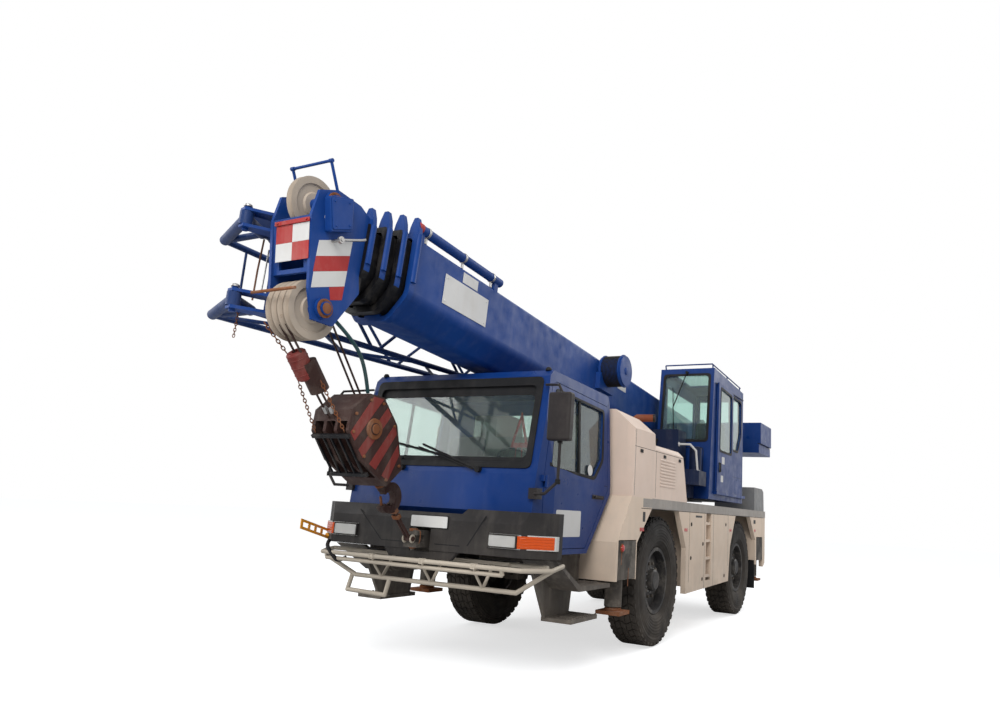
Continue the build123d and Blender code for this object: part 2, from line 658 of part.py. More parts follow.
def front_rack():
    """Tubular rack folded up under the bumper: two long rails, a lower bar, stays and a small step."""
    r = 19
    left, right = BODY_HALF - 20, -BODY_HALF + 70
    front, end = BUMPER_FRONT - 90, BUMPER_FRONT + 140
    inner_y, low_y, step_y = front + 20, BUMPER_FRONT + 60, BUMPER_FRONT + 40
    outer = bar([(right, end, 900), (right + 180, front, 900), (left - 150, front, 900), (left, end, 900),
        (left, end + 180, 930)], r)
    inner = bar([(right, end, 850), (right + 220, inner_y, 850), (left - 330, inner_y, 850)], r * 0.9)
    lower = bar([(right, end, 850), (right + 460, low_y, 715), (left - 270, low_y, 715), (left, end, 900)], r)
    step = bar([(-760, low_y, 715), (-780, step_y, 585), (-350, step_y, 575), (-330, low_y, 715)], r)
    stays = rod((right, end, 850), (right, end, 900), r) + \
        rod((left - 330, front, 900), (left - 330, inner_y, 850), r * 0.9)
    for x in (-420, 120, 640):
        stays += rod((x, low_y, 715), (x, inner_y, 850), 11) + rod((x, inner_y, 850), (x, front, 900), 11)
        stays += rod((x, low_y, 715), (x, BUMPER_FRONT + 200, 910), 14)
    tray = box(-800, 800, BUMPER_FRONT + 180, FRAME_FRONT, 900, 930)
    hook = [(-right, end, 900), (-right - 30, end + 60, 915), (760, end + 80, 915)]
    return outer + inner + lower + step + stays + tray + both(bar(hook, r))


def cab_steps():
    """Dark step plates under each door, with a lower step hung from them, on brackets from the frame."""
    inner, outer = BODY_HALF - PANEL_DEPTH, BODY_HALF - 50
    top = side_prism([(-2430, 960), (-2385, 960), (-1960, 740), (-1345, 735), (-1345, 700), (-1990, 700)],
        inner, outer)
    hanger = side_prism([(-2330, 850), (-1950, 715), (-1600, 715), (-1640, 460), (-2080, 460)], inner + 40,
        inner + 70)
    low = box(inner + 30, outer - 20, -2080, -1560, 440, 475)
    lining = side_prism([(-2330, 895), (-2330, 985), (-1350, 985), (-1350, 715), (-1975, 715)], inner - 40,
        inner + 10)
    arms = box(FRAME_HALF, inner - 30, -2320, -2250, 935, 980) + \
        box(FRAME_HALF, inner - 30, -1420, -1370, 935, 980)
    return both(top + lining + hanger + low + arms)


def mirrors():
    """Mirror housings on bent arms from the cab's front pillars."""
    x, y = CAB_HALF + 205, CAB_FRONT - 50
    pillar = CAB_HALF - 70
    arm = bar([(pillar, y + 60, 1500), (x - 105, y - 20, 1500), (x, y, 1600), (x, y, 1930)], 13)
    foot = box(pillar - 10, pillar + 70, y + 30, y + 120, 1455, 1545)
    head = box(x - 105, x + 105, y - 60, y + 30, 1930, 2330)
    stay = bar([(x, y - 10, 2330), (x - 45, y + 10, 2400), (pillar + 5, y + 190, 2440)], 11)
    return both(arm + foot + fillet(head.edges(), 22) + stay - cab_solid(0))


# Engine behind the cab

def engine_cowling():
    """High part behind the cab, lower part behind it, with a valley for the boom between its shoulders."""
    wall = 12
    front = CAB_REAR + 95
    low_rear = ENGINE_WELL + 30
    low_part = [(front, DECK_TOP), (front, 2140), (low_rear - 200, 2140), (low_rear, 1580),
        (low_rear, DECK_TOP)]
    high_part = [(front, DECK_TOP), (front, 2440), (-440, 2400), (-400, 2130), (-400, DECK_TOP)]
    body = side_prism(low_part, -BODY_HALF, BODY_HALF) + both(side_prism(high_part, 430, BODY_HALF))
    high_bevel = [(BODY_HALF - 265, 2470), (BODY_HALF + 5, 2240), (BODY_HALF + 50, 2240),
        (BODY_HALF + 50, 2470)]
    low_bevel = [(BODY_HALF - 60, 2141), (BODY_HALF + 1, 2080), (BODY_HALF + 50, 2080),
        (BODY_HALF + 50, 2141)]
    body -= both(front_prism(Polygon(*high_bevel, align=None), front - 100, -340))
    body -= both(front_prism(Polygon(*low_bevel, align=None), -399, 800))
    inner = side_prism(
        [
            (front + wall, DECK_TOP - 1), (front + wall, 2140 - wall), (low_rear - 210, 2140 - wall),
            (low_rear - 15, 1580), (low_rear - 15, DECK_TOP - 1),
        ],
        -BODY_HALF + wall, BODY_HALF - wall,
    )
    body -= inner & box(-BODY_HALF + 80, BODY_HALF - 80, front - 5, 800, 1500, 2140 - wall)
    high_inner = [(front + wall, 2000), (front + wall, 2360), (-460, 2330), (-430, 2000)]
    body -= both(side_prism(high_inner, 445, BODY_HALF - 290))
    floor = box(-BODY_HALF + 150, BODY_HALF - 150, front, -441, DECK_LOW, DECK_TOP)
    well = FRAME_HALF - FRAME_RAIL
    floor -= box(-well, well, -740, -400, DECK_LOW - 1, DECK_TOP + 1)
    floor -= both(box(BODY_HALF - PANEL_DEPTH, BODY_HALF + 50, front - 105, -400, DECK_LOW - 1, DECK_TOP + 1))
    return body + floor


def exhaust():
    """Pipe that leaves the cowling's top and bends outwards over its shoulder."""
    x, y = BODY_HALF - 350, -250
    return bar([(x, y, 2140), (x, y, 2400), (x + 60, y + 15, 2450), (x + 250, y + 70, 2455)], 42)


def engine_block():
    block = box(-300, 300, -700, 420, DECK_LOW - 250, 1980)
    feet = FRAME_HALF - FRAME_RAIL
    return block + box(-feet, feet, -600, -500, 1250, 1300) + box(-feet, feet, 200, 300, 1250, 1300)


# Superstructure

def turntable():
    """Slewing ring, platform and the two cheek plates that carry the boom's foot and the counterweight."""
    y = SLEW_Y
    frame = cyl_z(DECK_TOP + RUN, RING_TOP, 0, y, RING_R - 20)
    plan = [
        (-620, y - 1300), (620, y - 1300), (1000, y - 940), (1000, y - 730), (OPERATOR_IN, y - 730),
        (OPERATOR_IN, y + 1620), (-700, y + 1620), (-900, y + 1000), (-900, y - 750),
    ]
    frame += plan_prism(plan, RING_TOP, PLATFORM_TOP)
    cheek_line = [
        (y - 1200, PLATFORM_TOP - 1), (y - 1200, 1880), (y - 200, 2050), (PIVOT_Y - 400, 2560),
        (PIVOT_Y - 150, 2680),
        (COUNTER_FRONT, 2680), (COUNTER_REAR - 130, 2640), (COUNTER_REAR - 130, COUNTER_LOW),
        (y + 2400, 2400),
        (y + 1760, 2400), (y + 1600, 2000), (y + 1600, PLATFORM_TOP - 1),
    ]
    cheek = side_prism(cheek_line, CHEEK_IN, CHEEK_IN + CHEEK_T)
    cheek += cyl_x(CHEEK_IN, CHEEK_IN + CHEEK_T + 25, PIVOT_Y, PIVOT_Z, 130)
    cheek -= cyl_x(CHEEK_IN - 1, CHEEK_IN + 100, PIVOT_Y, PIVOT_Z, 70 + PIN_FIT)
    frame += both(cheek)
    tail_sweep = hypot(BOOM_TOP, BOOM_TAIL) + 20
    frame += box(-CHEEK_IN, CHEEK_IN, PIVOT_Y + tail_sweep, PIVOT_Y + tail_sweep + 30, 2400, 2640)
    lug = side_prism(
        [
            (BARREL_PIN_Y - 160, PLATFORM_TOP - 1), (BARREL_PIN_Y - 60, BARREL_PIN_Z + 60),
            (BARREL_PIN_Y + 60, BARREL_PIN_Z + 60), (BARREL_PIN_Y + 160, PLATFORM_TOP - 1),
        ],
        EYE_HALF + CLEVIS_GAP, EYE_HALF + CLEVIS_GAP + 30,
    )
    frame += both(lug)
    pin_end = EYE_HALF + CLEVIS_GAP + 40
    frame += cyl_x(-pin_end, pin_end, BARREL_PIN_Y, BARREL_PIN_Z, 40)
    swept = cyl_z(PLATFORM_TOP - 100, 2700, 0, y, 1600)
    frame += box(OPERATOR_IN - 20, 1180, y - 1170, y - 760, PLATFORM_TOP, TANK_TOP) & swept
    frame += box(OPERATOR_IN, 900, y - 1130, y - 800, TANK_TOP, 2520) & swept
    frame += cyl_z(TANK_TOP, 2300, 1070, y - 900, 80)
    frame += box(-900, -CHEEK_IN - CHEEK_T, y - 600, y + 1000, PLATFORM_TOP, 2350) & swept
    return frame


def handrail():
    """White rail round the front of the step beside the operator's cab."""
    y = SLEW_Y - 1100
    return bar([(905, y, 2330), (1050, y + 20, 2330), (1120, y + 60, 2250),
        (1130, y + 110, TANK_TOP + 3)], 14)


def winch():
    """Hoist drum between the cheeks, behind the boom's foot."""
    y, z = SLEW_Y + 2060, 2860
    drum = cyl_x(-250, 250, y, z, 150)
    for x in (-265, 235):
        drum += cyl_x(x, x + 30, y, z, 235)
    stand = both(box(CHEEK_IN - 40, CHEEK_IN, y - 180, y + 180, 2400, 2900))
    return drum + cyl_x(-CHEEK_IN, CHEEK_IN, y, z, 70) + stand


def counterweight():
    """Upper block with rounded rear corners on a thinner slab."""
    front, tail = COUNTER_FRONT, COUNTER_REAR
    step = COUNTER_LOW + SLAB_T
    block = box(-COUNTER_HALF, COUNTER_HALF, front, tail, step + 12, COUNTER_TOP)
    block = fillet(block.edges().filter_by(Axis.Z).group_by(Axis.Y)[-1], 70)
    slab = box(-COUNTER_HALF + 30, COUNTER_HALF - 30, front, tail - 20, COUNTER_LOW, step)
    neck = box(-COUNTER_HALF + 60, COUNTER_HALF - 60, front, tail - 50, step, step + 12)
    whole = block + slab + neck
    outer = CHEEK_IN + CHEEK_T
    whole -= box(-outer, outer, front - 1, front + 150, COUNTER_LOW - 1, COUNTER_TOP + 1)
    return whole - both(box(CHEEK_IN, outer, front - 1, tail - 130, COUNTER_LOW - 1, 2680))


# Operator's cab on the turntable, drawn with Y counted from the slewing axis

def operator_solid(inset):
    i = inset
    outline = [(-700 + i, OPERATOR_LOW + i), (-510 + i, 3480 - i), (1150 - i, 3390 - i),
        (1130 - i, OPERATOR_LOW + i)]
    return side_prism(outline, OPERATOR_IN + i, OPERATOR_OUT - i)


OPERATOR_WINDOW = [(510, 2420), (510, 3230), (1020, 3210), (1020, 2700), (830, 2420)]
SLIDE_OUTLINE = [(-440, 1760), (-380, 3290), (400, 3250), (400, 1760)]
SLIDE_WINDOW = [(-310, 2330), (-280, 3220), (310, 3190), (310, 2330)]
SLIDE_T = 32
SLIDE_OFF = 6


def operator_openings():
    """Windscreen, rear, side, inner and roof windows."""
    screen = [(-800, 2440), (-800, 3380), (-400, 3380), (-400, 2440)]
    rear = [(1060, 2600), (1060, 3250), (1200, 3250), (1200, 2600)]
    inner_side = [(-300, 2500), (-300, 3250), (1000, 3200), (1000, 2500)]
    return (
        side_prism(screen, OPERATOR_IN + 70, OPERATOR_OUT - 70),
        side_prism(rear, OPERATOR_IN + 90, OPERATOR_OUT - 90),
        side_prism(OPERATOR_WINDOW, OPERATOR_OUT - 60, OPERATOR_OUT + 20),
        side_prism(inner_side, OPERATOR_IN - 20, OPERATOR_IN + 60),
        box(OPERATOR_IN + 120, OPERATOR_OUT - 120, -250, 500, 3300, 3600),
    )


def roof_guard():
    """Rail round the front and outer edges of the roof."""
    r = 10
    inner, outer, front = OPERATOR_IN + 60, OPERATOR_OUT - 40, -490
    guard = bar([(inner, front, 3540), (outer, front, 3540), (outer, 1100, 3470)], r)
    guard += rod((inner, front, 3540), (inner, front + 30, 3460), r)
    for y, z in ((-460, 3540), (300, 3505), (1060, 3472)):
        guard += rod((outer, y, z), (outer, y, z - 85), r)
    return guard


def operator_cab():
    """Shell, panes, sliding door and its pane."""
    shell = operator_solid(0) - operator_solid(OPERATOR_WALL)
    layer = operator_solid(OPERATOR_WALL / 2) - operator_solid(OPERATOR_WALL / 2 + PANE)
    doorway = side_prism([(-390, 1800), (-350, 3250), (360, 3210), (360, 1800)], OPERATOR_OUT - 60,
        OPERATOR_OUT + 20)
    body = shell - doorway
    panes = None
    for opening in operator_openings():
        body -= opening
        pane = layer & opening
        panes = pane if panes is None else panes + pane
    near = OPERATOR_OUT + SLIDE_OFF
    sill = SLIDE_OUTLINE[0][1]
    body += box(OPERATOR_OUT - 20, near + SLIDE_T + 8, -460, 1130, sill - 45, sill - RUN - 5)
    body += roof_guard()
    leaf = side_prism(SLIDE_OUTLINE, near, near + SLIDE_T)
    leaf += box(near, near + SLIDE_T, -400, 360, sill - 5, sill)
    leaf -= side_prism(SLIDE_WINDOW, near - 1, near + SLIDE_T + 1)
    leaf_pane = side_prism(SLIDE_WINDOW, near + 11, near + 11 + PANE)
    return body, panes, leaf, leaf_pane


def operator_seat():
    floor = OPERATOR_LOW + OPERATOR_WALL
    x = (OPERATOR_IN + OPERATOR_OUT) / 2
    seat = box(x - 200, x + 200, 200, 620, floor, floor + 420)
    seat += box(x - 240, x + 240, 150, 660, floor + 420, floor + 540)
    back = [(560, floor + 540), (640, floor + 1180), (730, floor + 1180), (670, floor + 500)]
    seat += side_prism(back, x - 230, x + 230)
    consoles = box(x - 330, x - 260, 100, 550, floor, floor + 720) + \
        box(x + 260, x + 330, 100, 550, floor, floor + 720)
    return seat + consoles


# Boom

def boom_place(shape):
    """From the boom's own frame to the machine."""
    return Pos(0, PIVOT_Y, PIVOT_Z) * Rot(X=-BOOM_ANGLE) * shape


def section_face(inset):
    """Outline of one boom part in X and Z: upright sides over a narrower belly."""
    half, top = BOOM_HALF - inset, BOOM_TOP - inset
    belly_half, belly = BELLY_HALF - inset * 0.45, BOOM_BELLY + inset
    fold = BOOM_FOLD + inset * 0.4
    face = Polygon(
        (-half, top), (half, top), (half, fold), (belly_half, belly), (-belly_half, belly), (-half, fold),
        align=None
    )
    face = fillet(face.vertices().group_by(Axis.Y)[1], 120)
    face = fillet(face.vertices().group_by(Axis.Y)[0], 90)
    return fillet(face.vertices().group_by(Axis.Y)[-1], 30)


def section_tube(k, y0, y1):
    outer = section_face(SECTION_STEP * k)
    inner = section_face(SECTION_STEP * k + BOOM_WALL)
    return front_prism(outer, y0, y1) - front_prism(inner, y0 - 1, y1 + 1)


def collar(k, front):
    """Stiffening frame round a part's mouth, with a post on each side and a pointed fin over the left one."""
    outer = section_face(SECTION_STEP * k - COLLAR_PROUD)
    inner = section_face(SECTION_STEP * k + 2)
    ring = front_prism(outer, front, front + COLLAR_L) - front_prism(inner, front - 1, front + COLLAR_L + 1)
    top = BOOM_TOP - SECTION_STEP * k
    side = BOOM_HALF - SECTION_STEP * k + COLLAR_PROUD
    middle = front + COLLAR_L / 2
    for x in (side - POST_R / 4, -side + POST_R / 4):
        ring += cyl_z(POST_LOW, top + 15, x, middle, POST_R)
    fin = Polygon((-60, top + 5), (60, top + 5), (45, top + 90), (18, top + 165), (-18, top + 165),
        (-45, top + 90), align=None)
    return ring + Pos(side - 50, 0, 0) * front_prism(fin, front + 10, front + COLLAR_L - 10)


def wear_pads(k, front):
    """Pads inside a part's mouth that carry the next part in."""
    inset = SECTION_STEP * k + BOOM_WALL
    thick = SECTION_STEP - BOOM_WALL - RUN
    top = BOOM_TOP - inset
    low = BOOM_BELLY + inset
    pads = box(-120, 120, front, front + 120, top - thick, top + 1)
    return pads + box(-80, 80, front, front + 120, low - 1, low + thick)


def part_front(k):
    return BASE_FRONT - COLLAR_PITCH * k


def boom_base():
    front = part_front(0)
    body = section_tube(0, front, BOOM_TAIL) + collar(0, front) + wear_pads(0, front)
    body += cyl_x(-CHEEK_IN - CHEEK_T - 20, CHEEK_IN + CHEEK_T + 20, 0, 0, 70)
    body += cyl_x(-CHEEK_IN + 2, CHEEK_IN - 2, 0, 0, 110)
    ear = side_prism(
        [(EYE_Y - 170, BOOM_BELLY + 12), (EYE_Y - 60, EYE_Z - 75), (EYE_Y + 60, EYE_Z - 75),
        (EYE_Y + 170, BOOM_BELLY + 12)],
        EYE_HALF + CLEVIS_GAP, EYE_HALF + CLEVIS_GAP + 28,
    )
    ear -= cyl_x(0, 200, EYE_Y, EYE_Z, 42)
    body += both(ear)
    reel_y, reel_z = -3640, 360
    body += cyl_x(BOOM_HALF - 1, BOOM_HALF + 300, reel_y, reel_z, 185)
    body += box(BOOM_HALF - 1, BOOM_HALF + 60, reel_y - 220, reel_y + 200, 100, 300)
    tube_x, tube_z = BOOM_HALF - 20, BOOM_TOP + 95
    body += cyl_y(front + 40, front + 1290, tube_x, tube_z, 42)
    for y in (front + 60, front + 1180):
        body += box(tube_x - 25, tube_x + 20, y, y + 60, BOOM_TOP - 30, tube_z)
    return body + stow_bracket(front)


def stow_bracket(front):
    """Shelf on the boom's right side under the jib's upper inner chord."""
    y_world = boom_point(front + STOW_BACK, 300)[0]
    chord = jib_corner((y_world - JIB_FOOT) / (JIB_REAR - JIB_FOOT), 1, 1)
    top = boom_local(chord[1], chord[2])[1] - JIB_TUBE_R - RUN
    y = front + STOW_BACK
    shelf = box(chord[0] - 40, -BOOM_HALF + 1, y, y + 70, top - 40, top)
    return shelf + box(-BOOM_HALF - 30, -BOOM_HALF + 1, y, y + 70, top - 160, top - 39)


def tele(k):
    front = part_front(k)
    body = section_tube(k, front, front + 7300) + collar(k, front)
    return body + wear_pads(k, front)


def jib_forks():
    """Pairs of plates on the head's right side, above and below each of the jib's lugs, with the pins."""
    out = None
    for z in (JIB_LOW, JIB_HIGH):
        reach = JIB_LUG_HALF + RUN
        plan = [
            (-HEAD_HALF + 5, JIB_PIN_Y + 330), (-HEAD_HALF + 5, JIB_PIN_Y + 150),
            (JIB_PIN_X + 30, JIB_PIN_Y - 45),
            (JIB_PIN_X - 35, JIB_PIN_Y - 30), (JIB_PIN_X - 35, JIB_PIN_Y + 40),
            (JIB_PIN_X + 30, JIB_PIN_Y + 200),
        ]
        fork = plan_prism(plan, z + reach, z + reach + 22) + plan_prism(plan, z - reach - 22, z - reach)
        fork += cyl_z(z - reach - 40, z + reach + 40, JIB_PIN_X, JIB_PIN_Y, JIB_PIN_R)
        out = fork if out is None else out + fork
    return out


def boom_head():
    """Innermost boom part with the head: side plates, front plate, sheave shafts and rope guard."""
    k = 3
    front = part_front(k)
    body = section_tube(k, front, front + 7200) + collar(k, front)
    nose = HEAD_PIN_Y - 150
    brow = nose - 97
    plate_line = [
        (front + 30, 440), (front + 30, -160), (HEAD_PIN_Y + 120, HEAD_PIN_Z - 90),
        (HEAD_PIN_Y - 70, HEAD_PIN_Z - 100),
        (nose, HEAD_PIN_Z + 100), (brow, 225), (brow + 30, 430), (TOP_SHEAVE_Y + 30, 510), (front - 100, 500),
    ]
    plate = side_prism(plate_line, HEAD_HALF - HEAD_PLATE, HEAD_HALF)
    shafts = ((HEAD_PIN_Y, HEAD_PIN_Z, 75), (TOP_SHEAVE_Y, TOP_SHEAVE_Z, 72))
    for y, z, boss in shafts:
        body += cyl_x(HEAD_HALF - 5, HEAD_HALF + 22, y, z, boss)
    body += both(plate)
    low = HEAD_PIN_Z + 225
    face = side_prism([(nose, low), (nose + HEAD_PLATE, low), (brow + HEAD_PLATE, 225), (brow, 225)],
        -HEAD_HALF, HEAD_HALF)
    body += face - box(-120, 120, brow, HEAD_PIN_Y, low + 30, low + 110)
    body += box(-HEAD_HALF, HEAD_HALF, front - 60, front + 31, -150, 440)
    for y, z, boss in shafts:
        body += cyl_x(-HEAD_HALF + 5, HEAD_HALF + 45, y, z, 48)
    return body.fuse(*hoop_guard())


def hoop_guard():
    """Bent bar over the top sheave that keeps the rope in its groove."""
    r = 11
    half, foot, top = HEAD_HALF - 8, TOP_SHEAVE_Y + 40, TOP_SHEAVE_Y - 80
    corners = [(-half, top, 690), (half, top, 690)]
    ends = [(-half, foot, 480), (half, foot, 480)]
    pieces = [rod(corners[0], corners[1], r), rod(ends[0], corners[0], r), rod(ends[1], corners[1], r)]
    return pieces + [cyl_x(x - r - 4, x + r + 4, y, z, r + 4) for x, y, z in corners]


def sheave(x, y, z):
    """Grooved rope sheave turned about its shaft."""
    half, groove = SHEAVE_W / 2 - 2, SHEAVE_R - SHEAVE_GROOVE
    profile = [
        (48.0, -half), (90, -half), (100, -12), (groove - 30, -12), (groove - 20, -half), (SHEAVE_R, -half),
        (groove, -8), (groove, 8), (SHEAVE_R, half), (groove - 20, half), (groove - 30, 12), (100, 12),
        (90, half), (48.0, half),
    ]
    face = Plane.XY * Polygon(*[(offset_x, radius) for radius, offset_x in profile], align=None)
    return Pos(x, y, z) * revolve(face, Axis.X)


def head_sheaves():
    pack = [sheave(0, TOP_SHEAVE_Y, TOP_SHEAVE_Z)]
    for k in range(SHEAVE_COUNT):
        x = (k - (SHEAVE_COUNT - 1) / 2) * SHEAVE_PITCH
        pack.append(sheave(x, HEAD_PIN_Y, HEAD_PIN_Z))
    return Compound(pack)


# Luffing cylinder, in a frame with its barrel pin at the origin and the rod along -Y

def boom_point(y, z):
    a = radians(BOOM_ANGLE)
    return PIVOT_Y + y * cos(a) + z * sin(a), PIVOT_Z - y * sin(a) + z * cos(a)


def boom_local(y, z):
    a = radians(BOOM_ANGLE)
    dy, dz = y - PIVOT_Y, z - PIVOT_Z
    return dy * cos(a) - dz * sin(a), dy * sin(a) + dz * cos(a)


def luff_geometry():
    eye_y, eye_z = boom_point(EYE_Y, EYE_Z)
    run = Vector(0, eye_y - BARREL_PIN_Y, eye_z - BARREL_PIN_Z)
    return run.length, run


def luff_place(shape):
    length, run = luff_geometry()
    lift = Vector(0, -1, 0).get_signed_angle(run, Vector(-1, 0, 0))
    return Pos(0, BARREL_PIN_Y, BARREL_PIN_Z) * Rot(X=-lift) * shape


def luff_barrel():
    length, run = luff_geometry()
    mouth = -(length - EYE_R - 90)
    body = cyl_y(mouth, -160, 0, 0, BARREL_R) - cyl_y(mouth - 1, -200, 0, 0, LUFF_ROD_R + PIN_FIT)
    body += cyl_x(-EYE_HALF, EYE_HALF, 0, 0, EYE_R) + box(-EYE_HALF, EYE_HALF, -165, 0, -60, 60)
    body += cyl_y(mouth, mouth + 70, 0, 0, BARREL_R + 10) - cyl_y(mouth - 1, mouth + 71, 0, 0, LUFF_ROD_R
        + PIN_FIT)
    return body - cyl_x(-EYE_HALF - 1, EYE_HALF + 1, 0, 0, 40 + PIN_FIT)


def luff_rod():
    length, run = luff_geometry()
    body = cyl_y(-length + 50, -260, 0, 0, LUFF_ROD_R)
    body += cyl_x(-EYE_HALF, EYE_HALF, -length, 0, EYE_R)
    return body - cyl_x(-EYE_HALF - 1, EYE_HALF + 1, -length, 0, 45)


# Folding jib

def jib_corner(t, side, level):
    """A corner of the lattice at t along its length, from its foot at the boom's head to its tip."""
    y = JIB_FOOT + t * (JIB_REAR - JIB_FOOT)
    middle_x = -700 - 60 * t
    half_x = 210 - 110 * t
    low, high = JIB_LOW + 110 * t, JIB_HIGH - 230 * t
    return (middle_x + side * half_x, y, high if level else low)


def jib():
    """Lattice jib: four chords that draw together towards the tip, laced on each side, and its foot."""
    pieces = []
    for side in (-1, 1):
        for level in (0, 1):
            pieces.append(rod(jib_corner(0, side, level), jib_corner(1, side, level), JIB_TUBE_R))
    corners = ((-1, 0), (1, 0), (1, 1), (-1, 1))
    for k in range(JIB_BAYS):
        t0, t1 = k / JIB_BAYS + JIB_NODE_GAP, (k + 1) / JIB_BAYS - JIB_NODE_GAP
        for c in range(4):
            if k == 0 and c % 2:
                continue
            a, b = corners[c], corners[(c + 1) % 4]
            if k % 2:
                a, b = b, a
            pieces.append(rod(jib_corner(t0, *a), jib_corner(t1, *b), JIB_LACE_R))
    for c in range(4):
        a, b = corners[c], corners[(c + 1) % 4]
        pieces.append(rod(jib_corner(1, *a), jib_corner(1, *b), JIB_TUBE_R))
        first = 1 / JIB_BAYS if c % 2 else 0
        pieces.append(rod(jib_corner(first, *a), jib_corner(first, *b), JIB_TUBE_R))
    tip = jib_corner(1, 0, 0)
    pieces.append(cyl_x(tip[0] - 90, tip[0] + 90, tip[1], (tip[2] + jib_corner(1, 0, 1)[2]) / 2, 120))
    frame = pieces[0].fuse(*pieces[1:], *jib_foot())
    return frame - cyl_z(2000, 4000, JIB_PIN_X, JIB_PIN_Y, JIB_PIN_R + PIN_FIT)


def jib_foot():
    """Arms from chords to lugs, a gusset with two ears on the upper chord, a lower plate and thin stays."""
    pieces = []
    for level in (0, 1):
        inner, outer = jib_corner(0, 1, level), jib_corner(0, -1, level)
        z = inner[2]
        pieces.append(rod(inner, (JIB_PIN_X, JIB_PIN_Y, z), 40))
        pieces.append(rod(outer, (JIB_PIN_X, JIB_PIN_Y, z), 40))
        pieces.append(cyl_z(z - JIB_LUG_HALF, z + JIB_LUG_HALF, JIB_PIN_X, JIB_PIN_Y, JIB_LUG_R))
    inner, outer = jib_corner(0, 1, 0), jib_corner(0, -1, 0)
    plate = [
        (outer[0], outer[1] + 60), (inner[0] + 20, inner[1] + 60), (JIB_PIN_X + 30, JIB_PIN_Y + 20),
        (JIB_PIN_X - 30, JIB_PIN_Y - 20),
    ]
    pieces.append(plan_prism(plate, JIB_LOW - 12, JIB_LOW + 12))
    x, y, z = jib_corner(0, 1, 1)
    pieces.append(side_prism([(y - 60, z), (y + 280, z), (y + 190, z + 140), (y + 60, z + 140)], x - 9,
        x + 9))
    for ear in (y + 70, y + 180):
        pieces.append(cyl_x(x - 30, x + 30, ear, z + 140, 38))
    for side, back in ((1, 120), (-1, 200)):
        low = jib_corner(back / (JIB_REAR - JIB_FOOT), side, 0)
        pieces.append(cyl_z(low[2], jib_corner(0, side, 1)[2], low[0], low[1], 10))
    return pieces


# Hook block, drawn hanging down from the lower head shaft, then swung back by HOOK_ANGLE

def hook_place(shape):
    y, z = boom_point(HEAD_PIN_Y, HEAD_PIN_Z)
    return Pos(0, y, z) * Rot(X=HOOK_ANGLE) * shape


def hoist_falls():
    """Falls of the hoist rope between the head's sheaves and the block's."""
    upper = SHEAVE_R - SHEAVE_GROOVE + ROPE_R + RUN
    lower = BLOCK_SHEAVE_R - 3
    drop = BLOCK_START + BLOCK_SHAFT
    lean = (upper - lower) / drop
    falls = []
    for x in (-SHEAVE_PITCH / 2, SHEAVE_PITCH / 2):
        for side in (-1, 1):
            start = (x, side * upper * cos(lean), -upper * sin(lean))
            end = (x, side * lower * cos(lean), -lower * sin(lean) - drop)
            falls.append(rod(start, end, ROPE_R))
    return falls


def hook_block():
    """Cheek plates over the block's sheaves, cross head, hook and the tie-down strop."""
    top, low = -BLOCK_START, -BLOCK_START - BLOCK_L
    outline = [(-110, top), (-225, top - 110), (-235, low + 330), (-120, low), (90, low), (235, low + 330),
        (225, top - 110), (110, top)]
    body = side_prism(outline, -BLOCK_HALF, BLOCK_HALF)
    for x0, x1 in ((-157, -70), (-42, 42), (70, 157)):
        body -= box(x0, x1, -300, 300, low + 110, top - 60)
    shaft = top - BLOCK_SHAFT
    body += cyl_x(-BLOCK_HALF - 20, BLOCK_HALF + 20, 0, shaft, 45)
    body += cyl_x(-BLOCK_HALF + 1, BLOCK_HALF - 1, 0, shaft, BLOCK_SHEAVE_R)
    body += cyl_z(low - 120, low + 30, 0, 0, 42)
    bowl = low - 225
    hook = cyl_x(-32, 32, 12, bowl, HOOK_OUTER_R) - cyl_x(-33, 33, 0, bowl, HOOK_BOWL_R)
    hook -= box(-33, 33, -160, -20, bowl, bowl + 160)
    body += hook
    for x in (-STROP_R - 3, STROP_R + 3):
        body += rod((x, 0, bowl - HOOK_BOWL_R + STROP_R), (x, STROP_Y, STROP_Z), STROP_R)
    return body + cyl_x(-55, 55, STROP_Y, STROP_Z, 20)


def tie_weight():
    """Red weight of the hoist limit switch, round two of the falls."""
    return Pos(0, -150, -450) * Cylinder(70, 240)


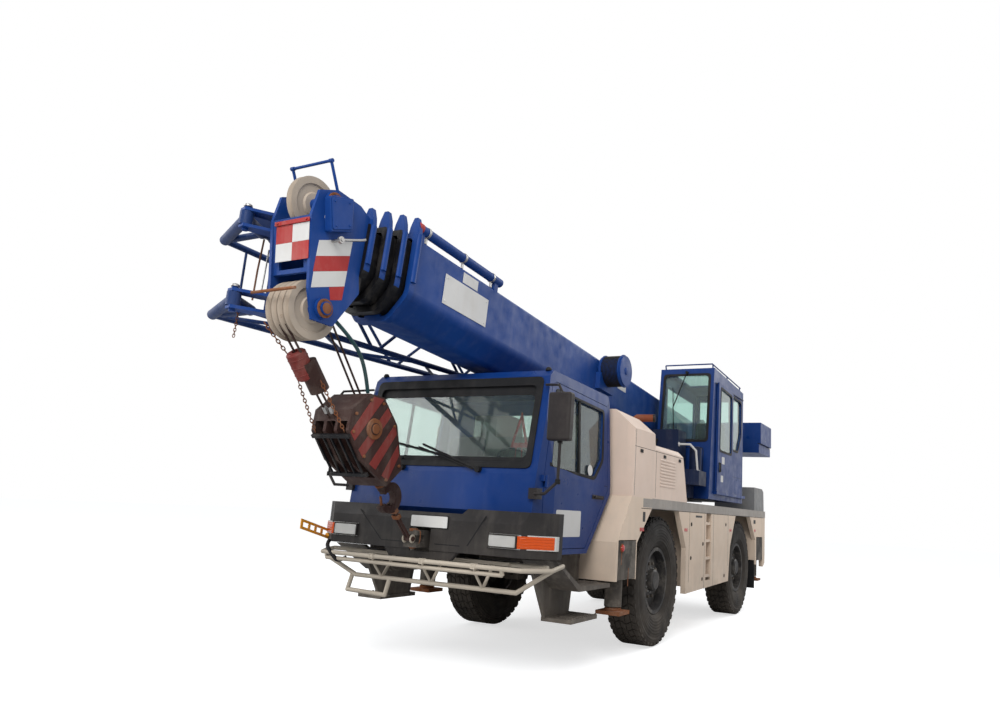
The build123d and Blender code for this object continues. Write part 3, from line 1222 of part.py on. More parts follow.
def main():
    os.makedirs("parts", exist_ok=True)
    write("carrier_frame", carrier_frame())
    write("deck", deck())
    write("body_panels", both(front_panels()) + both(middle_panels()) + both(rear_panels()))
    write("rear_lockers", rear_locker())
    write("outrigger_boxes", outrigger_box(FRONT_BOX_Y) + outrigger_box(REAR_BOX_Y))
    write("axles", axle(0) + axle(WHEELBASE))
    write("engine_cowling", engine_cowling())
    write("exhaust", exhaust())
    write("engine_block", engine_block())

    shell, panes, door, pane = front_cab()
    write("cab_shell", shell)
    write("cab_glass", panes)
    write("cab_interior", cab_interior())
    for side, word in ((1, "left"), (-1, "right")):
        write("cab_door_" + word, flip(door, side))
        write("cab_door_glass_" + word, flip(pane, side))
    write("bumper", bumper())
    write("headlamps", headlamps())
    write("front_rack", front_rack())
    write("cab_steps", cab_steps())
    write("mirrors", mirrors())

    for y, end in ((0, "front"), (WHEELBASE, "rear")):
        for side, word in ((1, "left"), (-1, "right")):
            write("knuckle_" + end + "_" + word, knuckle(y, side))
            write("tyre_" + end + "_" + word, tyre(y, side))
            write("rim_" + end + "_" + word, rim(y, side))
    for y, end in ((FRONT_BOX_Y, "front"), (REAR_BOX_Y, "rear")):
        for side, word in ((1, "left"), (-1, "right")):
            write("outrigger_beam_" + end + "_" + word, outrigger_beam(y, side))
            write("jack_" + end + "_" + word, jack(y, side))

    write("turntable", turntable())
    write("handrail", handrail())
    write("winch", winch())
    write("counterweight", counterweight())
    shell, panes, leaf, leaf_pane = operator_cab()
    write("operator_cab", slewed(shell))
    write("operator_glass", slewed(panes))
    write("operator_seat", slewed(operator_seat()))
    write("operator_door", slewed(leaf))
    write("operator_door_glass", slewed(leaf_pane))

    write("boom_base", boom_place(boom_base()))
    write("boom_part_1", boom_place(tele(1)))
    write("boom_part_2", boom_place(tele(2)))
    write("boom_head", boom_place(boom_head()) + jib_forks())
    write("head_sheaves", boom_place(head_sheaves()))
    write("luff_barrel", luff_place(luff_barrel()))
    write("luff_rod", luff_place(luff_rod()))
    write("jib", jib())
    write("hook_block", hook_place(hook_block().fuse(*hoist_falls(), tie_weight())))


main()
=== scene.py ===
# %% [markdown]
# # A mobile crane
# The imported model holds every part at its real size, with its joints. This lesson dresses it: paint and
# wear on each part, and the small things that are too fine for the model, such as tread, wipers, rubber
# seals and chains. Everything is in metres. X is the machine's left, Y runs rearwards and Z is up.

# %% Load the model
import bpy, bmesh, json
from math import sin, cos, pi, radians, hypot
from mathutils import Vector, Matrix


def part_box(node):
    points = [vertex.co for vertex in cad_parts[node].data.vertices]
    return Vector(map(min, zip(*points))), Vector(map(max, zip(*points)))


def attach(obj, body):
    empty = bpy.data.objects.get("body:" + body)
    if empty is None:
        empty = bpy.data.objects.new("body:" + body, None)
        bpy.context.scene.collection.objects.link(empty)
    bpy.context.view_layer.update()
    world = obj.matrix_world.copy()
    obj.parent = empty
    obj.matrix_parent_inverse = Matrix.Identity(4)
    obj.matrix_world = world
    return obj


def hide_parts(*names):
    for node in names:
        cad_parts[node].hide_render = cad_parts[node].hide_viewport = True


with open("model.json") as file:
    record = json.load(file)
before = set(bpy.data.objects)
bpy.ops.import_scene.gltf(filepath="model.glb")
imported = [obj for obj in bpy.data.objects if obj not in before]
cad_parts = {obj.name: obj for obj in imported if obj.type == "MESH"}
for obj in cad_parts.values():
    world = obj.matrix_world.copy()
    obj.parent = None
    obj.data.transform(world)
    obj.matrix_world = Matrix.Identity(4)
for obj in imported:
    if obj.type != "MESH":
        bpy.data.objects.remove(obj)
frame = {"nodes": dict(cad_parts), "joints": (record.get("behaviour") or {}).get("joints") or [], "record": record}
nodes = frame["nodes"]
joints = {j["name"]: j for j in frame["joints"]}
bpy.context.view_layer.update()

# %% [markdown]
# ## Where things are
# The front axle is the easiest place to measure a vehicle from, so lengths along the machine count from it.
# The boom is tilted, so its pieces count from the pin at its foot, along the boom and square to it. The
# hook counts from the shaft it hangs on.

# %% Places on the machine, the boom and the hook
tyre_low, tyre_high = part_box("tyre_front_left")
rear_tyre_low, rear_tyre_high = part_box("tyre_rear_left")
AXLE_Y = (tyre_low[1] + tyre_high[1]) / 2
REAR_Y = (rear_tyre_low[1] + rear_tyre_high[1]) / 2
WHEEL_R = (tyre_high[2] - tyre_low[2]) / 2
FOOT = Vector(joints["boom_luff"]["pos_m"])
ALONG = Vector(joints["telescope_boom_part_1"]["axis"]).normalized()
SQUARE = Vector((0, ALONG.z, -ALONG.y))
HEAD = Vector(joints["hook_swing"]["pos_m"])


def at(x, y, z):
    """A place on the machine, counted from the front axle on the ground."""
    return Vector((x, y + AXLE_Y, z))


def on_boom(x, y, z):
    """A place on the boom: y is negative towards its head, z is square to it."""
    return FOOT + Vector((x, 0, 0)) + ALONG * -y + SQUARE * z


print("axles at", round(AXLE_Y, 3), round(REAR_Y, 3), "boom foot", FOOT, "square", SQUARE)

# %% [markdown]
# ## Camera
# The camera stands low at the left front corner and looks up a little, so the boom's head comes towards the
# viewer. A short lens makes the head large and the tail small, as it looks from close by.

# %% Camera
YAW, PITCH, ROLL = radians(26.78), radians(11.93), radians(3.235)
VIEWPOINT = at(4.036, -7.789, 1.371)
ahead = Vector((-sin(YAW) * cos(PITCH), cos(YAW) * cos(PITCH), sin(PITCH)))
right = ahead.cross(Vector((0, 0, 1))).normalized()
up = right.cross(ahead)
right, up = right * cos(ROLL) + up * sin(ROLL), up * cos(ROLL) - right * sin(ROLL)
lens = bpy.data.cameras.new("camera")
lens.sensor_width = 36
lens.lens = 25.92
lens.shift_x, lens.shift_y = -0.083, 0.0064
lens.clip_end = 200
camera = bpy.data.objects.new("camera", lens)
camera.matrix_world = Matrix((
    (right.x, up.x, -ahead.x, VIEWPOINT.x),
    (right.y, up.y, -ahead.y, VIEWPOINT.y),
    (right.z, up.z, -ahead.z, VIEWPOINT.z),
    (0, 0, 0, 1),
))
bpy.context.scene.collection.objects.link(camera)
bpy.context.scene.camera = camera
print("camera at", camera.location)

# %% [markdown]
# ## Light and floor
# An overcast sky lights the crane from all round, so the world is a plain pale grey. One large soft lamp
# above the front left corner shows the shapes, and two weaker ones lift the far sides. The camera and
# mirror-like surfaces see the world as white.

# %% World, lamps and floor
FLOOR_LIFT = 0.64


def maths(tree, operation, *values):
    """The result of one operation on shader values: each is a number or another node's output."""
    made = tree.nodes.new("ShaderNodeMath")
    made.operation = operation
    for socket, value in zip(made.inputs, values):
        if isinstance(value, float):
            socket.default_value = value
        else:
            tree.links.new(value, socket)
    return made.outputs[0]


def ray_is(tree, *kinds):
    """1 for a ray of one of the named kinds, otherwise 0."""
    path = tree.nodes.new("ShaderNodeLightPath")
    found = path.outputs["Is %s Ray" % kinds[0]]
    for kind in kinds[1:]:
        found = maths(tree, "MAXIMUM", found, path.outputs["Is %s Ray" % kind])
    return found


def background(tree, colour, strength):
    made = tree.nodes.new("ShaderNodeBackground")
    made.inputs["Color"].default_value = (*colour, 1)
    made.inputs["Strength"].default_value = strength
    return made.outputs[0]


def lamp(name, place, target, size, power):
    """A round soft lamp that points at a target."""
    data = bpy.data.lights.new(name, "AREA")
    data.shape = "DISK"
    data.size = size
    data.energy = power
    lit = bpy.data.objects.new(name, data)
    lit.location = place
    lit.rotation_euler = (Vector(target) - Vector(place)).to_track_quat("-Z", "Y").to_euler()
    bpy.context.scene.collection.objects.link(lit)


bpy.context.scene.view_settings.view_transform = "Standard"
world = bpy.data.worlds.new("sky")
world.use_nodes = True
bpy.context.scene.world = world
sky = world.node_tree
sky.nodes.clear()
sky_out = sky.nodes.new("ShaderNodeOutputWorld")
sky_mix = sky.nodes.new("ShaderNodeMixShader")
sky.links.new(ray_is(sky, "Camera", "Transmission", "Glossy"), sky_mix.inputs[0])
sky.links.new(background(sky, (0.93, 0.96, 1.0), 0.62), sky_mix.inputs[1])
sky.links.new(background(sky, (1, 1, 1), 1.0), sky_mix.inputs[2])
sky.links.new(sky_mix.outputs[0], sky_out.inputs["Surface"])

lamp("high_lamp", (4.5, -14, 11), (0, -1, 1.5), 9, 1650)
lamp("low_lamp", (-9, -9, 5), (0, -2, 1.5), 7, 420)
lamp("rear_lamp", (6, 13, 10), (0, 2, 1.5), 9, 900)

ground = bmesh.new()
bmesh.ops.create_grid(ground, x_segments=1, y_segments=1, size=60)
floor_mesh = bpy.data.meshes.new("floor")
ground.to_mesh(floor_mesh)
floor = bpy.data.objects.new("floor", floor_mesh)
floor.location.z = -0.004
bpy.context.scene.collection.objects.link(floor)
pale = bpy.data.materials.new("pale_floor")
pale.use_nodes = True
pale_tree = pale.node_tree
pale_shader = pale_tree.nodes["Principled BSDF"]
pale_shader.inputs["Base Color"].default_value = (0.60, 0.60, 0.60, 1)
pale_shader.inputs["Roughness"].default_value = 0.95
pale_shader.inputs["Specular IOR Level"].default_value = 0.0
pale_shader.inputs["Emission Color"].default_value = (1, 1, 1, 1)
lifted = maths(pale_tree, "MULTIPLY", ray_is(pale_tree, "Camera", "Transmission"), FLOOR_LIFT)
pale_tree.links.new(lifted, pale_shader.inputs["Emission Strength"])
floor_mesh.materials.append(pale)
print("floor and", len(bpy.data.lights), "lamps ready")

# %% [markdown]
# ## Paint that has been outdoors
# Machine paint is never one colour. It fades in soft patches, road dirt settles low down, rain leaves
# streaks, and rust comes through in spots. One recipe mixes these over a base colour, and each colour has
# its own amounts. All of it comes from noise in object space, so it needs no unwrapping.

# %% Recipe for paint, plastic and bare metal
finishes = {}
DUST = (0.42, 0.37, 0.31)
RUST_SPOT = (0.16, 0.06, 0.025)
ROAD_DIRT = (0.20, 0.165, 0.13)


def new_finish(name):
    """A named material that shaders can be wired into."""
    made = bpy.data.materials.new(name)
    made.use_nodes = True
    finishes[name] = made
    return made.node_tree, made.node_tree.nodes["Principled BSDF"]


def in_object(tree):
    return tree.nodes.new("ShaderNodeTexCoord").outputs["Object"]


def noise(tree, scale, detail=4.0, stretch=(1, 1, 1), rough=0.55):
    spread = tree.nodes.new("ShaderNodeMapping")
    spread.inputs["Scale"].default_value = stretch
    cloud = tree.nodes.new("ShaderNodeTexNoise")
    cloud.inputs["Scale"].default_value = scale
    cloud.inputs["Detail"].default_value = detail
    cloud.inputs["Roughness"].default_value = rough
    tree.links.new(in_object(tree), spread.inputs["Vector"])
    tree.links.new(spread.outputs["Vector"], cloud.inputs["Vector"])
    return cloud.outputs["Fac"]


def ramp(tree, value, low=0.0, high=1.0, top=1.0, bottom=0.0):
    """Spreads the part of a value between low and high over bottom to top."""
    spread = tree.nodes.new("ShaderNodeMapRange")
    for socket, number in (("From Min", low), ("From Max", high), ("To Min", bottom), ("To Max", top)):
        spread.inputs[socket].default_value = number
    tree.links.new(value, spread.inputs["Value"])
    return spread.outputs["Result"]


def blend(tree, amount, first, second):
    """Mixes two colours, each a tuple or another node's output."""
    mix = tree.nodes.new("ShaderNodeMix")
    mix.data_type = "RGBA"
    tree.links.new(amount, mix.inputs[0])
    for socket, value in ((mix.inputs[6], first), (mix.inputs[7], second)):
        if isinstance(value, tuple):
            socket.default_value = (*value, 1)
        else:
            tree.links.new(value, socket)
    return mix.outputs[2]


def bump(tree, height, strength, distance, under=None):
    """A surface normal from a height, laid over another normal if there is one."""
    made = tree.nodes.new("ShaderNodeBump")
    made.inputs["Strength"].default_value = strength
    made.inputs["Distance"].default_value = distance
    tree.links.new(height, made.inputs["Height"])
    if under:
        tree.links.new(under, made.inputs["Normal"])
    return made.outputs["Normal"]


def finish(name, colour, shade, rough, metal=0.0, dust=0.25, streak=0.2, spot=0.0, grain=0.0015,
           grain_scale=60, coat=0.0, low_dirt=0.35, dust_colour=DUST):
    """Colour with faded patches, streaks, settled dust near the ground and rust spots, over a fine grain."""
    tree, shader = new_finish(name)
    shader.inputs["Metallic"].default_value = metal
    shader.inputs["Coat Weight"].default_value = coat
    shader.inputs["Coat Roughness"].default_value = 0.12
    shader.inputs["Specular IOR Level"].default_value = 0.16
    dark = tuple(c * shade for c in colour)
    tone = blend(tree, ramp(tree, noise(tree, 1.1, 6), 0.35, 0.65), dark, colour)
    tone = blend(tree, ramp(tree, noise(tree, 9, 5, (1.0, 1.0, 0.12)), 0.52, 0.8, streak), tone, dust_colour)
    tone = blend(tree, ramp(tree, noise(tree, 5, 8, rough=0.7), 0.5, 0.78, dust), tone, dust_colour)
    split = tree.nodes.new("ShaderNodeSeparateXYZ")
    tree.links.new(in_object(tree), split.inputs[0])
    nearness = ramp(tree, split.outputs["Z"], 1.3, 0.3, low_dirt)
    dirt = maths(tree, "MULTIPLY", nearness, ramp(tree, noise(tree, 3, 7), 0.25, 0.6))
    tone = blend(tree, dirt, tone, ROAD_DIRT)
    if spot:
        rusty = ramp(tree, noise(tree, 13, 9, rough=0.75), 0.72 - spot * 0.2, 0.78 - spot * 0.2, 0.9)
        tone = blend(tree, rusty, tone, RUST_SPOT)
    tree.links.new(tone, shader.inputs["Base Color"])
    uneven = ramp(tree, noise(tree, 7, 5), 0.3, 0.75)
    dullness = ramp(tree, uneven, top=min(1.0, rough + 0.16), bottom=max(0.05, rough - 0.1))
    tree.links.new(dullness, shader.inputs["Roughness"])
    grained = bump(tree, noise(tree, grain_scale, 3), 0.35, grain)
    tree.links.new(grained, shader.inputs["Normal"])
    return tree, shader, grained


# name, base colour, shade, roughness, metal, dust, streak, rust spots, grain depth and scale, coat, low dirt
PAINTS = (
    ("blue_paint", (0.004, 0.031, 0.155), 0.82, 0.36, 0.0, 0.02, 0.03, 0.0, 0.0006, 25, 0.0, 0.12),
    ("boom_blue", (0.006, 0.045, 0.215), 0.78, 0.50, 0.0, 0.03, 0.05, 0.0, 0.0010, 22, 0.0, 0.0),
    ("jib_blue", (0.012, 0.036, 0.130), 0.70, 0.45, 0.0, 0.08, 0.06, 0.1, 0.0012, 40, 0.0, 0.0),
    ("dark_blue", (0.008, 0.016, 0.050), 0.70, 0.48, 0.0, 0.06, 0.05, 0.0, 0.0012, 40, 0.0, 0.0),
    ("cream_paint", (0.700, 0.545, 0.445), 0.90, 0.45, 0.0, 0.14, 0.22, 0.0, 0.0008, 30, 0.1, 0.30),
    ("panel_cream", (0.680, 0.540, 0.420), 0.90, 0.50, 0.0, 0.18, 0.30, 0.05, 0.0008, 30, 0.0, 0.45),
    ("deck_grey", (0.330, 0.300, 0.270), 0.80, 0.50, 0.1, 0.25, 0.35, 0.05, 0.0010, 35, 0.0, 0.10),
    ("locker_grey", (0.200, 0.200, 0.200), 0.85, 0.50, 0.0, 0.25, 0.25, 0.0, 0.0010, 35, 0.0, 0.10),
    ("chassis", (0.030, 0.028, 0.027), 0.60, 0.70, 0.0, 0.45, 0.25, 0.25, 0.0025, 30, 0.0, 0.60),
    ("axle_iron", (0.035, 0.030, 0.027), 0.60, 0.75, 0.0, 0.55, 0.20, 0.30, 0.0030, 26, 0.0, 0.60),
    ("step_steel", (0.070, 0.062, 0.056), 0.70, 0.62, 0.1, 0.35, 0.30, 0.15, 0.0020, 30, 0.0, 0.50),
    ("rack_cream", (0.480, 0.420, 0.340), 0.75, 0.50, 0.1, 0.30, 0.30, 0.25, 0.0012, 45, 0.0, 0.30),
    ("bumper_plastic", (0.022, 0.020, 0.020), 0.85, 0.55, 0.0, 0.05, 0.07, 0.0, 0.0012, 220, 0.0, 0.25),
    ("mirror_plastic", (0.026, 0.022, 0.022), 0.85, 0.50, 0.0, 0.04, 0.04, 0.0, 0.0010, 240, 0.0, 0.0),
    ("rim_paint", (0.030, 0.029, 0.030), 0.70, 0.55, 0.1, 0.40, 0.10, 0.20, 0.0015, 50, 0.0, 0.10),
    # The black finish below is grease on the inner boom parts, and painted shade where it fills the cover's finger
    # slots.
    ("grease_and_shade_black", (0.008, 0.008, 0.010), 0.55, 0.40, 0.0, 0.10, 0.10, 0.0, 0.0040, 11, 0.0, 0.0),
    ("rusty_pipe", (0.300, 0.085, 0.040), 0.60, 0.75, 0.1, 0.20, 0.10, 0.35, 0.0020, 40, 0.0, 0.0),
    ("rust", (0.230, 0.085, 0.035), 0.50, 0.85, 0.1, 0.30, 0.20, 0.45, 0.0025, 50, 0.0, 0.0),
    ("hook_brown", (0.050, 0.024, 0.020), 0.55, 0.60, 0.1, 0.12, 0.12, 0.35, 0.0020, 40, 0.0, 0.0),
    ("red_paint", (0.380, 0.032, 0.030), 0.70, 0.50, 0.0, 0.15, 0.20, 0.15, 0.0010, 40, 0.0, 0.0),
    ("hook_red", (0.220, 0.036, 0.030), 0.60, 0.62, 0.0, 0.12, 0.16, 0.35, 0.0012, 40, 0.0, 0.0),
    ("white_paint", (0.600, 0.590, 0.570), 0.86, 0.45, 0.0, 0.16, 0.25, 0.05, 0.0008, 35, 0.0, 0.0),
    ("yellow_paint", (0.780, 0.330, 0.018), 0.80, 0.50, 0.0, 0.20, 0.30, 0.20, 0.0010, 40, 0.0, 0.0),
    ("sheave_cream", (0.480, 0.400, 0.320), 0.60, 0.60, 0.0, 0.35, 0.20, 0.35, 0.0015, 45, 0.0, 0.0),
    ("steel", (0.420, 0.410, 0.400), 0.70, 0.35, 0.9, 0.20, 0.20, 0.10, 0.0008, 60, 0.0, 0.0),
    ("rod_steel", (0.620, 0.620, 0.630), 0.90, 0.15, 1.0, 0.03, 0.05, 0.0, 0.0003, 60, 0.0, 0.0),
    ("rope_steel", (0.110, 0.095, 0.080), 0.60, 0.55, 0.5, 0.20, 0.10, 0.10, 0.0020, 160, 0.0, 0.0),
    ("rubber", (0.010, 0.010, 0.011), 0.80, 0.60, 0.0, 0.03, 0.03, 0.0, 0.0010, 80, 0.0, 0.0),
    ("hose_green", (0.020, 0.060, 0.065), 0.70, 0.50, 0.0, 0.20, 0.10, 0.0, 0.0010, 80, 0.0, 0.0),
    ("trim_grey", (0.110, 0.108, 0.105), 0.85, 0.60, 0.0, 0.10, 0.05, 0.0, 0.0015, 150, 0.0, 0.0),
    ("seat_cloth", (0.050, 0.052, 0.058), 0.75, 0.95, 0.0, 0.12, 0.0, 0.0, 0.0030, 260, 0.0, 0.0),
    ("engine_iron", (0.060, 0.058, 0.055), 0.70, 0.60, 0.3, 0.40, 0.10, 0.15, 0.0030, 24, 0.0, 0.0),
)
for paint in PAINTS:
    finish(*paint)
print("finishes", len(finishes))

# %% [markdown]
# ## Glass, lamps and tyre rubber
# Laminated glass is thin and slightly green. Nearly all light goes through it, so the seats and the wheel
# behind it show, and a faint haze dulls its gloss. Lamp lenses are coloured and let less light through.
# Tyre rubber is almost black with brown dust, and rings moulded into its side come from a wave over the
# distance to the wheel's axle.

# %% Glass, lenses and rubber
RINGS_PER_METRE = 210.0


def glassy(name, colour, clear, haze=0.06):
    """Tinted glass or a lens: clear is the share of light let through, and a little haze dulls its gloss."""
    tree, shader = new_finish(name)
    shader.inputs["Base Color"].default_value = (*colour, 1)
    shader.inputs["Transmission Weight"].default_value = clear
    shader.inputs["IOR"].default_value = 1.45
    tree.links.new(ramp(tree, noise(tree, 4, 6), 0.3, 0.8, haze), shader.inputs["Roughness"])
    return shader


glassy("window_glass", (0.62, 0.73, 0.69), 0.96)
glassy("cab_green_glass", (0.66, 0.84, 0.79), 0.96)
glassy("lamp_clear", (0.80, 0.79, 0.76), 0.60, 0.15)
glassy("lamp_amber", (0.66, 0.085, 0.008), 0.20, 0.18)
glassy("reflector_red", (0.42, 0.016, 0.012), 0.10, 0.24)
mirror = glassy("mirror_glass", (0.55, 0.58, 0.60), 0.0, 0.03)
mirror.inputs["Metallic"].default_value = 1.0


def tyre_rubber(name, axle_y):
    """Rubber with rings round one axle: both wheels of an axle share it."""
    tree, shader, grained = finish(
        name, (0.018, 0.016, 0.015), 0.75, 0.78, dust=0.22, streak=0.0, grain=0.002, grain_scale=45,
        low_dirt=0.25, dust_colour=(0.110, 0.092, 0.076))
    move = tree.nodes.new("ShaderNodeMapping")
    move.inputs["Location"].default_value = (0, -axle_y, -WHEEL_R)
    tree.links.new(in_object(tree), move.inputs["Vector"])
    split = tree.nodes.new("ShaderNodeSeparateXYZ")
    tree.links.new(move.outputs["Vector"], split.inputs[0])
    flat = tree.nodes.new("ShaderNodeCombineXYZ")
    for axis in ("Y", "Z"):
        tree.links.new(split.outputs[axis], flat.inputs[axis])
    far = tree.nodes.new("ShaderNodeVectorMath")
    far.operation = "LENGTH"
    tree.links.new(flat.outputs[0], far.inputs[0])
    rings = maths(tree, "SINE", maths(tree, "MULTIPLY", far.outputs["Value"], RINGS_PER_METRE))
    tree.links.new(bump(tree, rings, 0.5, 0.003, grained), shader.inputs["Normal"])


tyre_rubber("tyre_front", AXLE_Y)
tyre_rubber("tyre_rear", REAR_Y)
print("finishes with glass and rubber", len(finishes))

# %% [markdown]
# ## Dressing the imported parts
# Parts whose shape is right keep it and only take a finish. The table pairs each part with one. Smooth
# shading with a split at sharp angles makes turned surfaces look round and keeps folded plate crisp.

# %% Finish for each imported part
DRESS = {
    "carrier_frame": "chassis", "deck": "deck_grey", "body_panels": "panel_cream",
    "rear_lockers": "locker_grey", "outrigger_boxes": "chassis", "axles": "axle_iron",
    "engine_cowling": "cream_paint", "exhaust": "rusty_pipe", "engine_block": "engine_iron",
    "cab_shell": "blue_paint", "cab_glass": "window_glass", "cab_interior": "trim_grey",
    "bumper": "bumper_plastic", "headlamps": "lamp_clear", "front_rack": "rack_cream",
    "cab_steps": "step_steel", "mirrors": "mirror_plastic", "turntable": "dark_blue",
    "handrail": "white_paint", "winch": "locker_grey", "counterweight": "blue_paint",
    "operator_cab": "blue_paint", "operator_glass": "cab_green_glass", "operator_seat": "trim_grey",
    "operator_door": "blue_paint", "operator_door_glass": "cab_green_glass", "boom_base": "boom_blue",
    "boom_part_1": "grease_and_shade_black", "boom_part_2": "grease_and_shade_black", "boom_head": "boom_blue",
    "head_sheaves": "sheave_cream", "luff_barrel": "boom_blue", "luff_rod": "rod_steel", "jib": "jib_blue",
    "hook_block": "hook_brown",
}
DRESS_ALIKE = {
    "tyre_front_": "tyre_front", "tyre_rear_": "tyre_rear", "rim_": "rim_paint", "knuckle_": "axle_iron",
    "outrigger_beam_": "chassis", "jack_": "rust", "cab_door_": "blue_paint",
}


def finish_of(name):
    """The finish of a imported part, by its whole name or by how the name starts."""
    if name.startswith("cab_door_") and "glass" in name:
        return "window_glass"
    return DRESS.get(name) or next(made for start, made in DRESS_ALIKE.items() if name.startswith(start))


for name, node in nodes.items():
    node.data.materials.clear()
    node.data.materials.append(finishes[finish_of(name)])
    for face in node.data.polygons:
        face.use_smooth = True
        face.material_index = 0
    node.data.set_sharp_from_angle(angle=radians(32))
print("dressed", len(nodes), "parts")

# %% [markdown]
# ## Small helpers for added pieces
# Most added pieces are flat plates, bars, rings and bolts. Each helper adds one such shape to a mesh. The
# first one puts the finished mesh on a moving body, and can soften its edges with a small bevel, because a
# perfectly sharp edge never catches the light.

# %% Helpers for plates, bars and turned pieces
body_of_node = {n: b for b, members in frame["record"]["behaviour"]["bodies"].items() for n in members}


def keep(shape, name, paint, node, bevel=0.0):
    """Puts a finished shape in the scene, riding on the body that carries the named part."""
    mesh = shape
    if isinstance(shape, bmesh.types.BMesh):
        mesh = bpy.data.meshes.new(name)
        bmesh.ops.recalc_face_normals(shape, faces=shape.faces)
        shape.to_mesh(mesh)
        shape.free()
    if not mesh.materials:
        mesh.materials.append(finishes[paint])
    for face in mesh.polygons:
        face.use_smooth = True
    mesh.set_sharp_from_angle(angle=radians(35))
    piece = bpy.data.objects.new(name, mesh)
    bpy.context.scene.collection.objects.link(piece)
    if bevel:
        soften = piece.modifiers.new("soften", "BEVEL")
        soften.width = bevel
        soften.segments = 2
        soften.limit_method = "ANGLE"
    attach(piece, body_of_node[node])
    return piece


def slab(bm, outline, thick):
    """A flat outline of places, made thick along the given vector."""
    low = [bm.verts.new(p) for p in outline]
    high = [bm.verts.new(Vector(p) + Vector(thick)) for p in outline]
    bm.faces.new(low[::-1])
    bm.faces.new(high)
    for k in range(len(low)):
        bm.faces.new((low[k], low[k - 1], high[k - 1], high[k]))


def rectangle(a0, a1, b0, b1):
    """The corners of a rectangle, as pairs that a surface's own function turns into places."""
    return [(a0, b0), (a1, b0), (a1, b1), (a0, b1)]


def block(bm, low, high):
    """A box between two corners."""
    slab(bm, [(x, y, low.z) for x, y in rectangle(low.x, high.x, low.y, high.y)], (0, 0, high.z - low.z))


def plate(bm, place, outline, thick, r=0.0, proud=0.0):
    """A thin plate: place turns each pair of the outline into a point of a surface, r rounds the corners."""
    points = [place(a, b, proud) for a, b in outline]
    slab(bm, rounded(points, r) if r else points, thick)


def bar(bm, start, end, r, sides=12):
    """A round bar between two places."""
    start, end = Vector(start), Vector(end)
    way = (end - start).normalized()
    side = way.orthogonal().normalized()
    other = way.cross(side)
    angles = [2 * pi * k / sides for k in range(sides)]
    rings = [[bm.verts.new(place + (side * cos(a) + other * sin(a)) * r) for a in angles]
             for place in (start, end)]
    for k in range(sides):
        bm.faces.new((rings[0][k - 1], rings[0][k], rings[1][k], rings[1][k - 1]))
    bm.faces.new(rings[0][::-1])
    bm.faces.new(rings[1])


def turned(bm, centre, axis, profile, sides):
    """A closed outline of (radius, offset along the axis) turned about the axis."""
    axis = Vector(axis).normalized()
    side = axis.orthogonal().normalized()
    other = axis.cross(side)
    centre = Vector(centre)
    rings = []
    for k in range(sides):
        a = 2 * pi * k / sides
        out = side * cos(a) + other * sin(a)
        rings.append([bm.verts.new(centre + out * r + axis * h) for r, h in profile])
    for k in range(sides):
        for i in range(len(profile)):
            bm.faces.new((rings[k - 1][i - 1], rings[k][i - 1], rings[k][i], rings[k - 1][i]))


def pipe(name, points, r, paint, node, smooth_line=False, sides=4):
    """A bent pipe, hose or wire along a line of places."""
    line = bpy.data.curves.new(name, "CURVE")
    line.dimensions = "3D"
    line.bevel_depth = r
    line.bevel_resolution = sides
    line.use_fill_caps = True
    line.resolution_u = 6
    spline = line.splines.new("NURBS" if smooth_line else "POLY")
    spline.points.add(len(points) - 1)
    for point, place in zip(spline.points, points):
        point.co = (*place, 1)
    if smooth_line:
        spline.order_u = 3
        spline.use_endpoint_u = True
    line.materials.append(finishes[paint])
    piece = bpy.data.objects.new(name, line)
    bpy.context.scene.collection.objects.link(piece)
    mesh = bpy.data.meshes.new_from_object(piece.evaluated_get(bpy.context.evaluated_depsgraph_get()))
    bpy.data.objects.remove(piece)
    return keep(mesh, name, paint, node)


def rounded(points, r):
    """A closed outline of places with its corners rounded."""
    steps = 4
    out = []
    for k, corner in enumerate(points):
        corner = Vector(corner)
        before, after = Vector(points[k - 1]), Vector(points[(k + 1) % len(points)])
        a = corner + (before - corner).normalized() * r
        b = corner + (after - corner).normalized() * r
        for i in range(steps + 1):
            t = i / steps
            out.append(a.lerp(corner, t).lerp(corner.lerp(b, t), t))
    return out


# %% [markdown]
# ## Tyres with their tread
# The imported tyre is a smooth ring, right for rolling but not for looking at. The new tyre is a turned
# carcass, lower than the ring by the depth of the tread, with rows of blocks up to the ring's own radius.
# The blocks are skewed and each row starts at its own angle, as on a real all-terrain tyre, and the outer
# rows reach over the shoulder.

# %% Tyre carcass and tread blocks
TREAD_DEPTH = 0.017
BLOCKS_ROUND = 42
# inner edge, outer edge, skew of the row in degrees, first angle in degrees
TREAD_ROWS = (
    (-0.148, -0.098, 2.2, 0.0), (-0.088, -0.036, -2.6, 3.5), (-0.026, 0.026, 2.6, 0.8),
    (0.036, 0.088, -2.6, 3.9), (0.098, 0.148, 2.2, 0.4),
)
SIDES, ENDS = ("left", "right"), ("front", "rear")
WHEELS = ["%s_%s" % (end, side) for end in ENDS for side in SIDES]


def middle_of(name):
    """The middle of a packed wheel part, the machine's side it is on, and its inner and outer face."""
    low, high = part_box(name)
    centre = (Vector(low) + Vector(high)) / 2
    inner_x, outer_x = sorted((low[0], high[0]), key=abs)
    return centre, 1 if centre.x > 0 else -1, inner_x, outer_x


def tread_block(bm, centre, side, x0, x1, angle, wide, skew, r0, r1):
    """One block of rubber between two offsets along the axle, two angles and two radii."""
    corners = []
    for x, lean in ((x0, 0), (x1, skew)):
        for a in (angle, angle + wide):
            for r in (r0, r1):
                turn = radians(a + lean)
                corners.append(bm.verts.new(centre + Vector((x * side, r * cos(turn), r * sin(turn)))))
    for face in ((0, 1, 3, 2), (4, 6, 7, 5), (0, 4, 5, 1), (2, 3, 7, 6), (1, 5, 7, 3), (0, 2, 6, 4)):
        bm.faces.new([corners[i] for i in face])


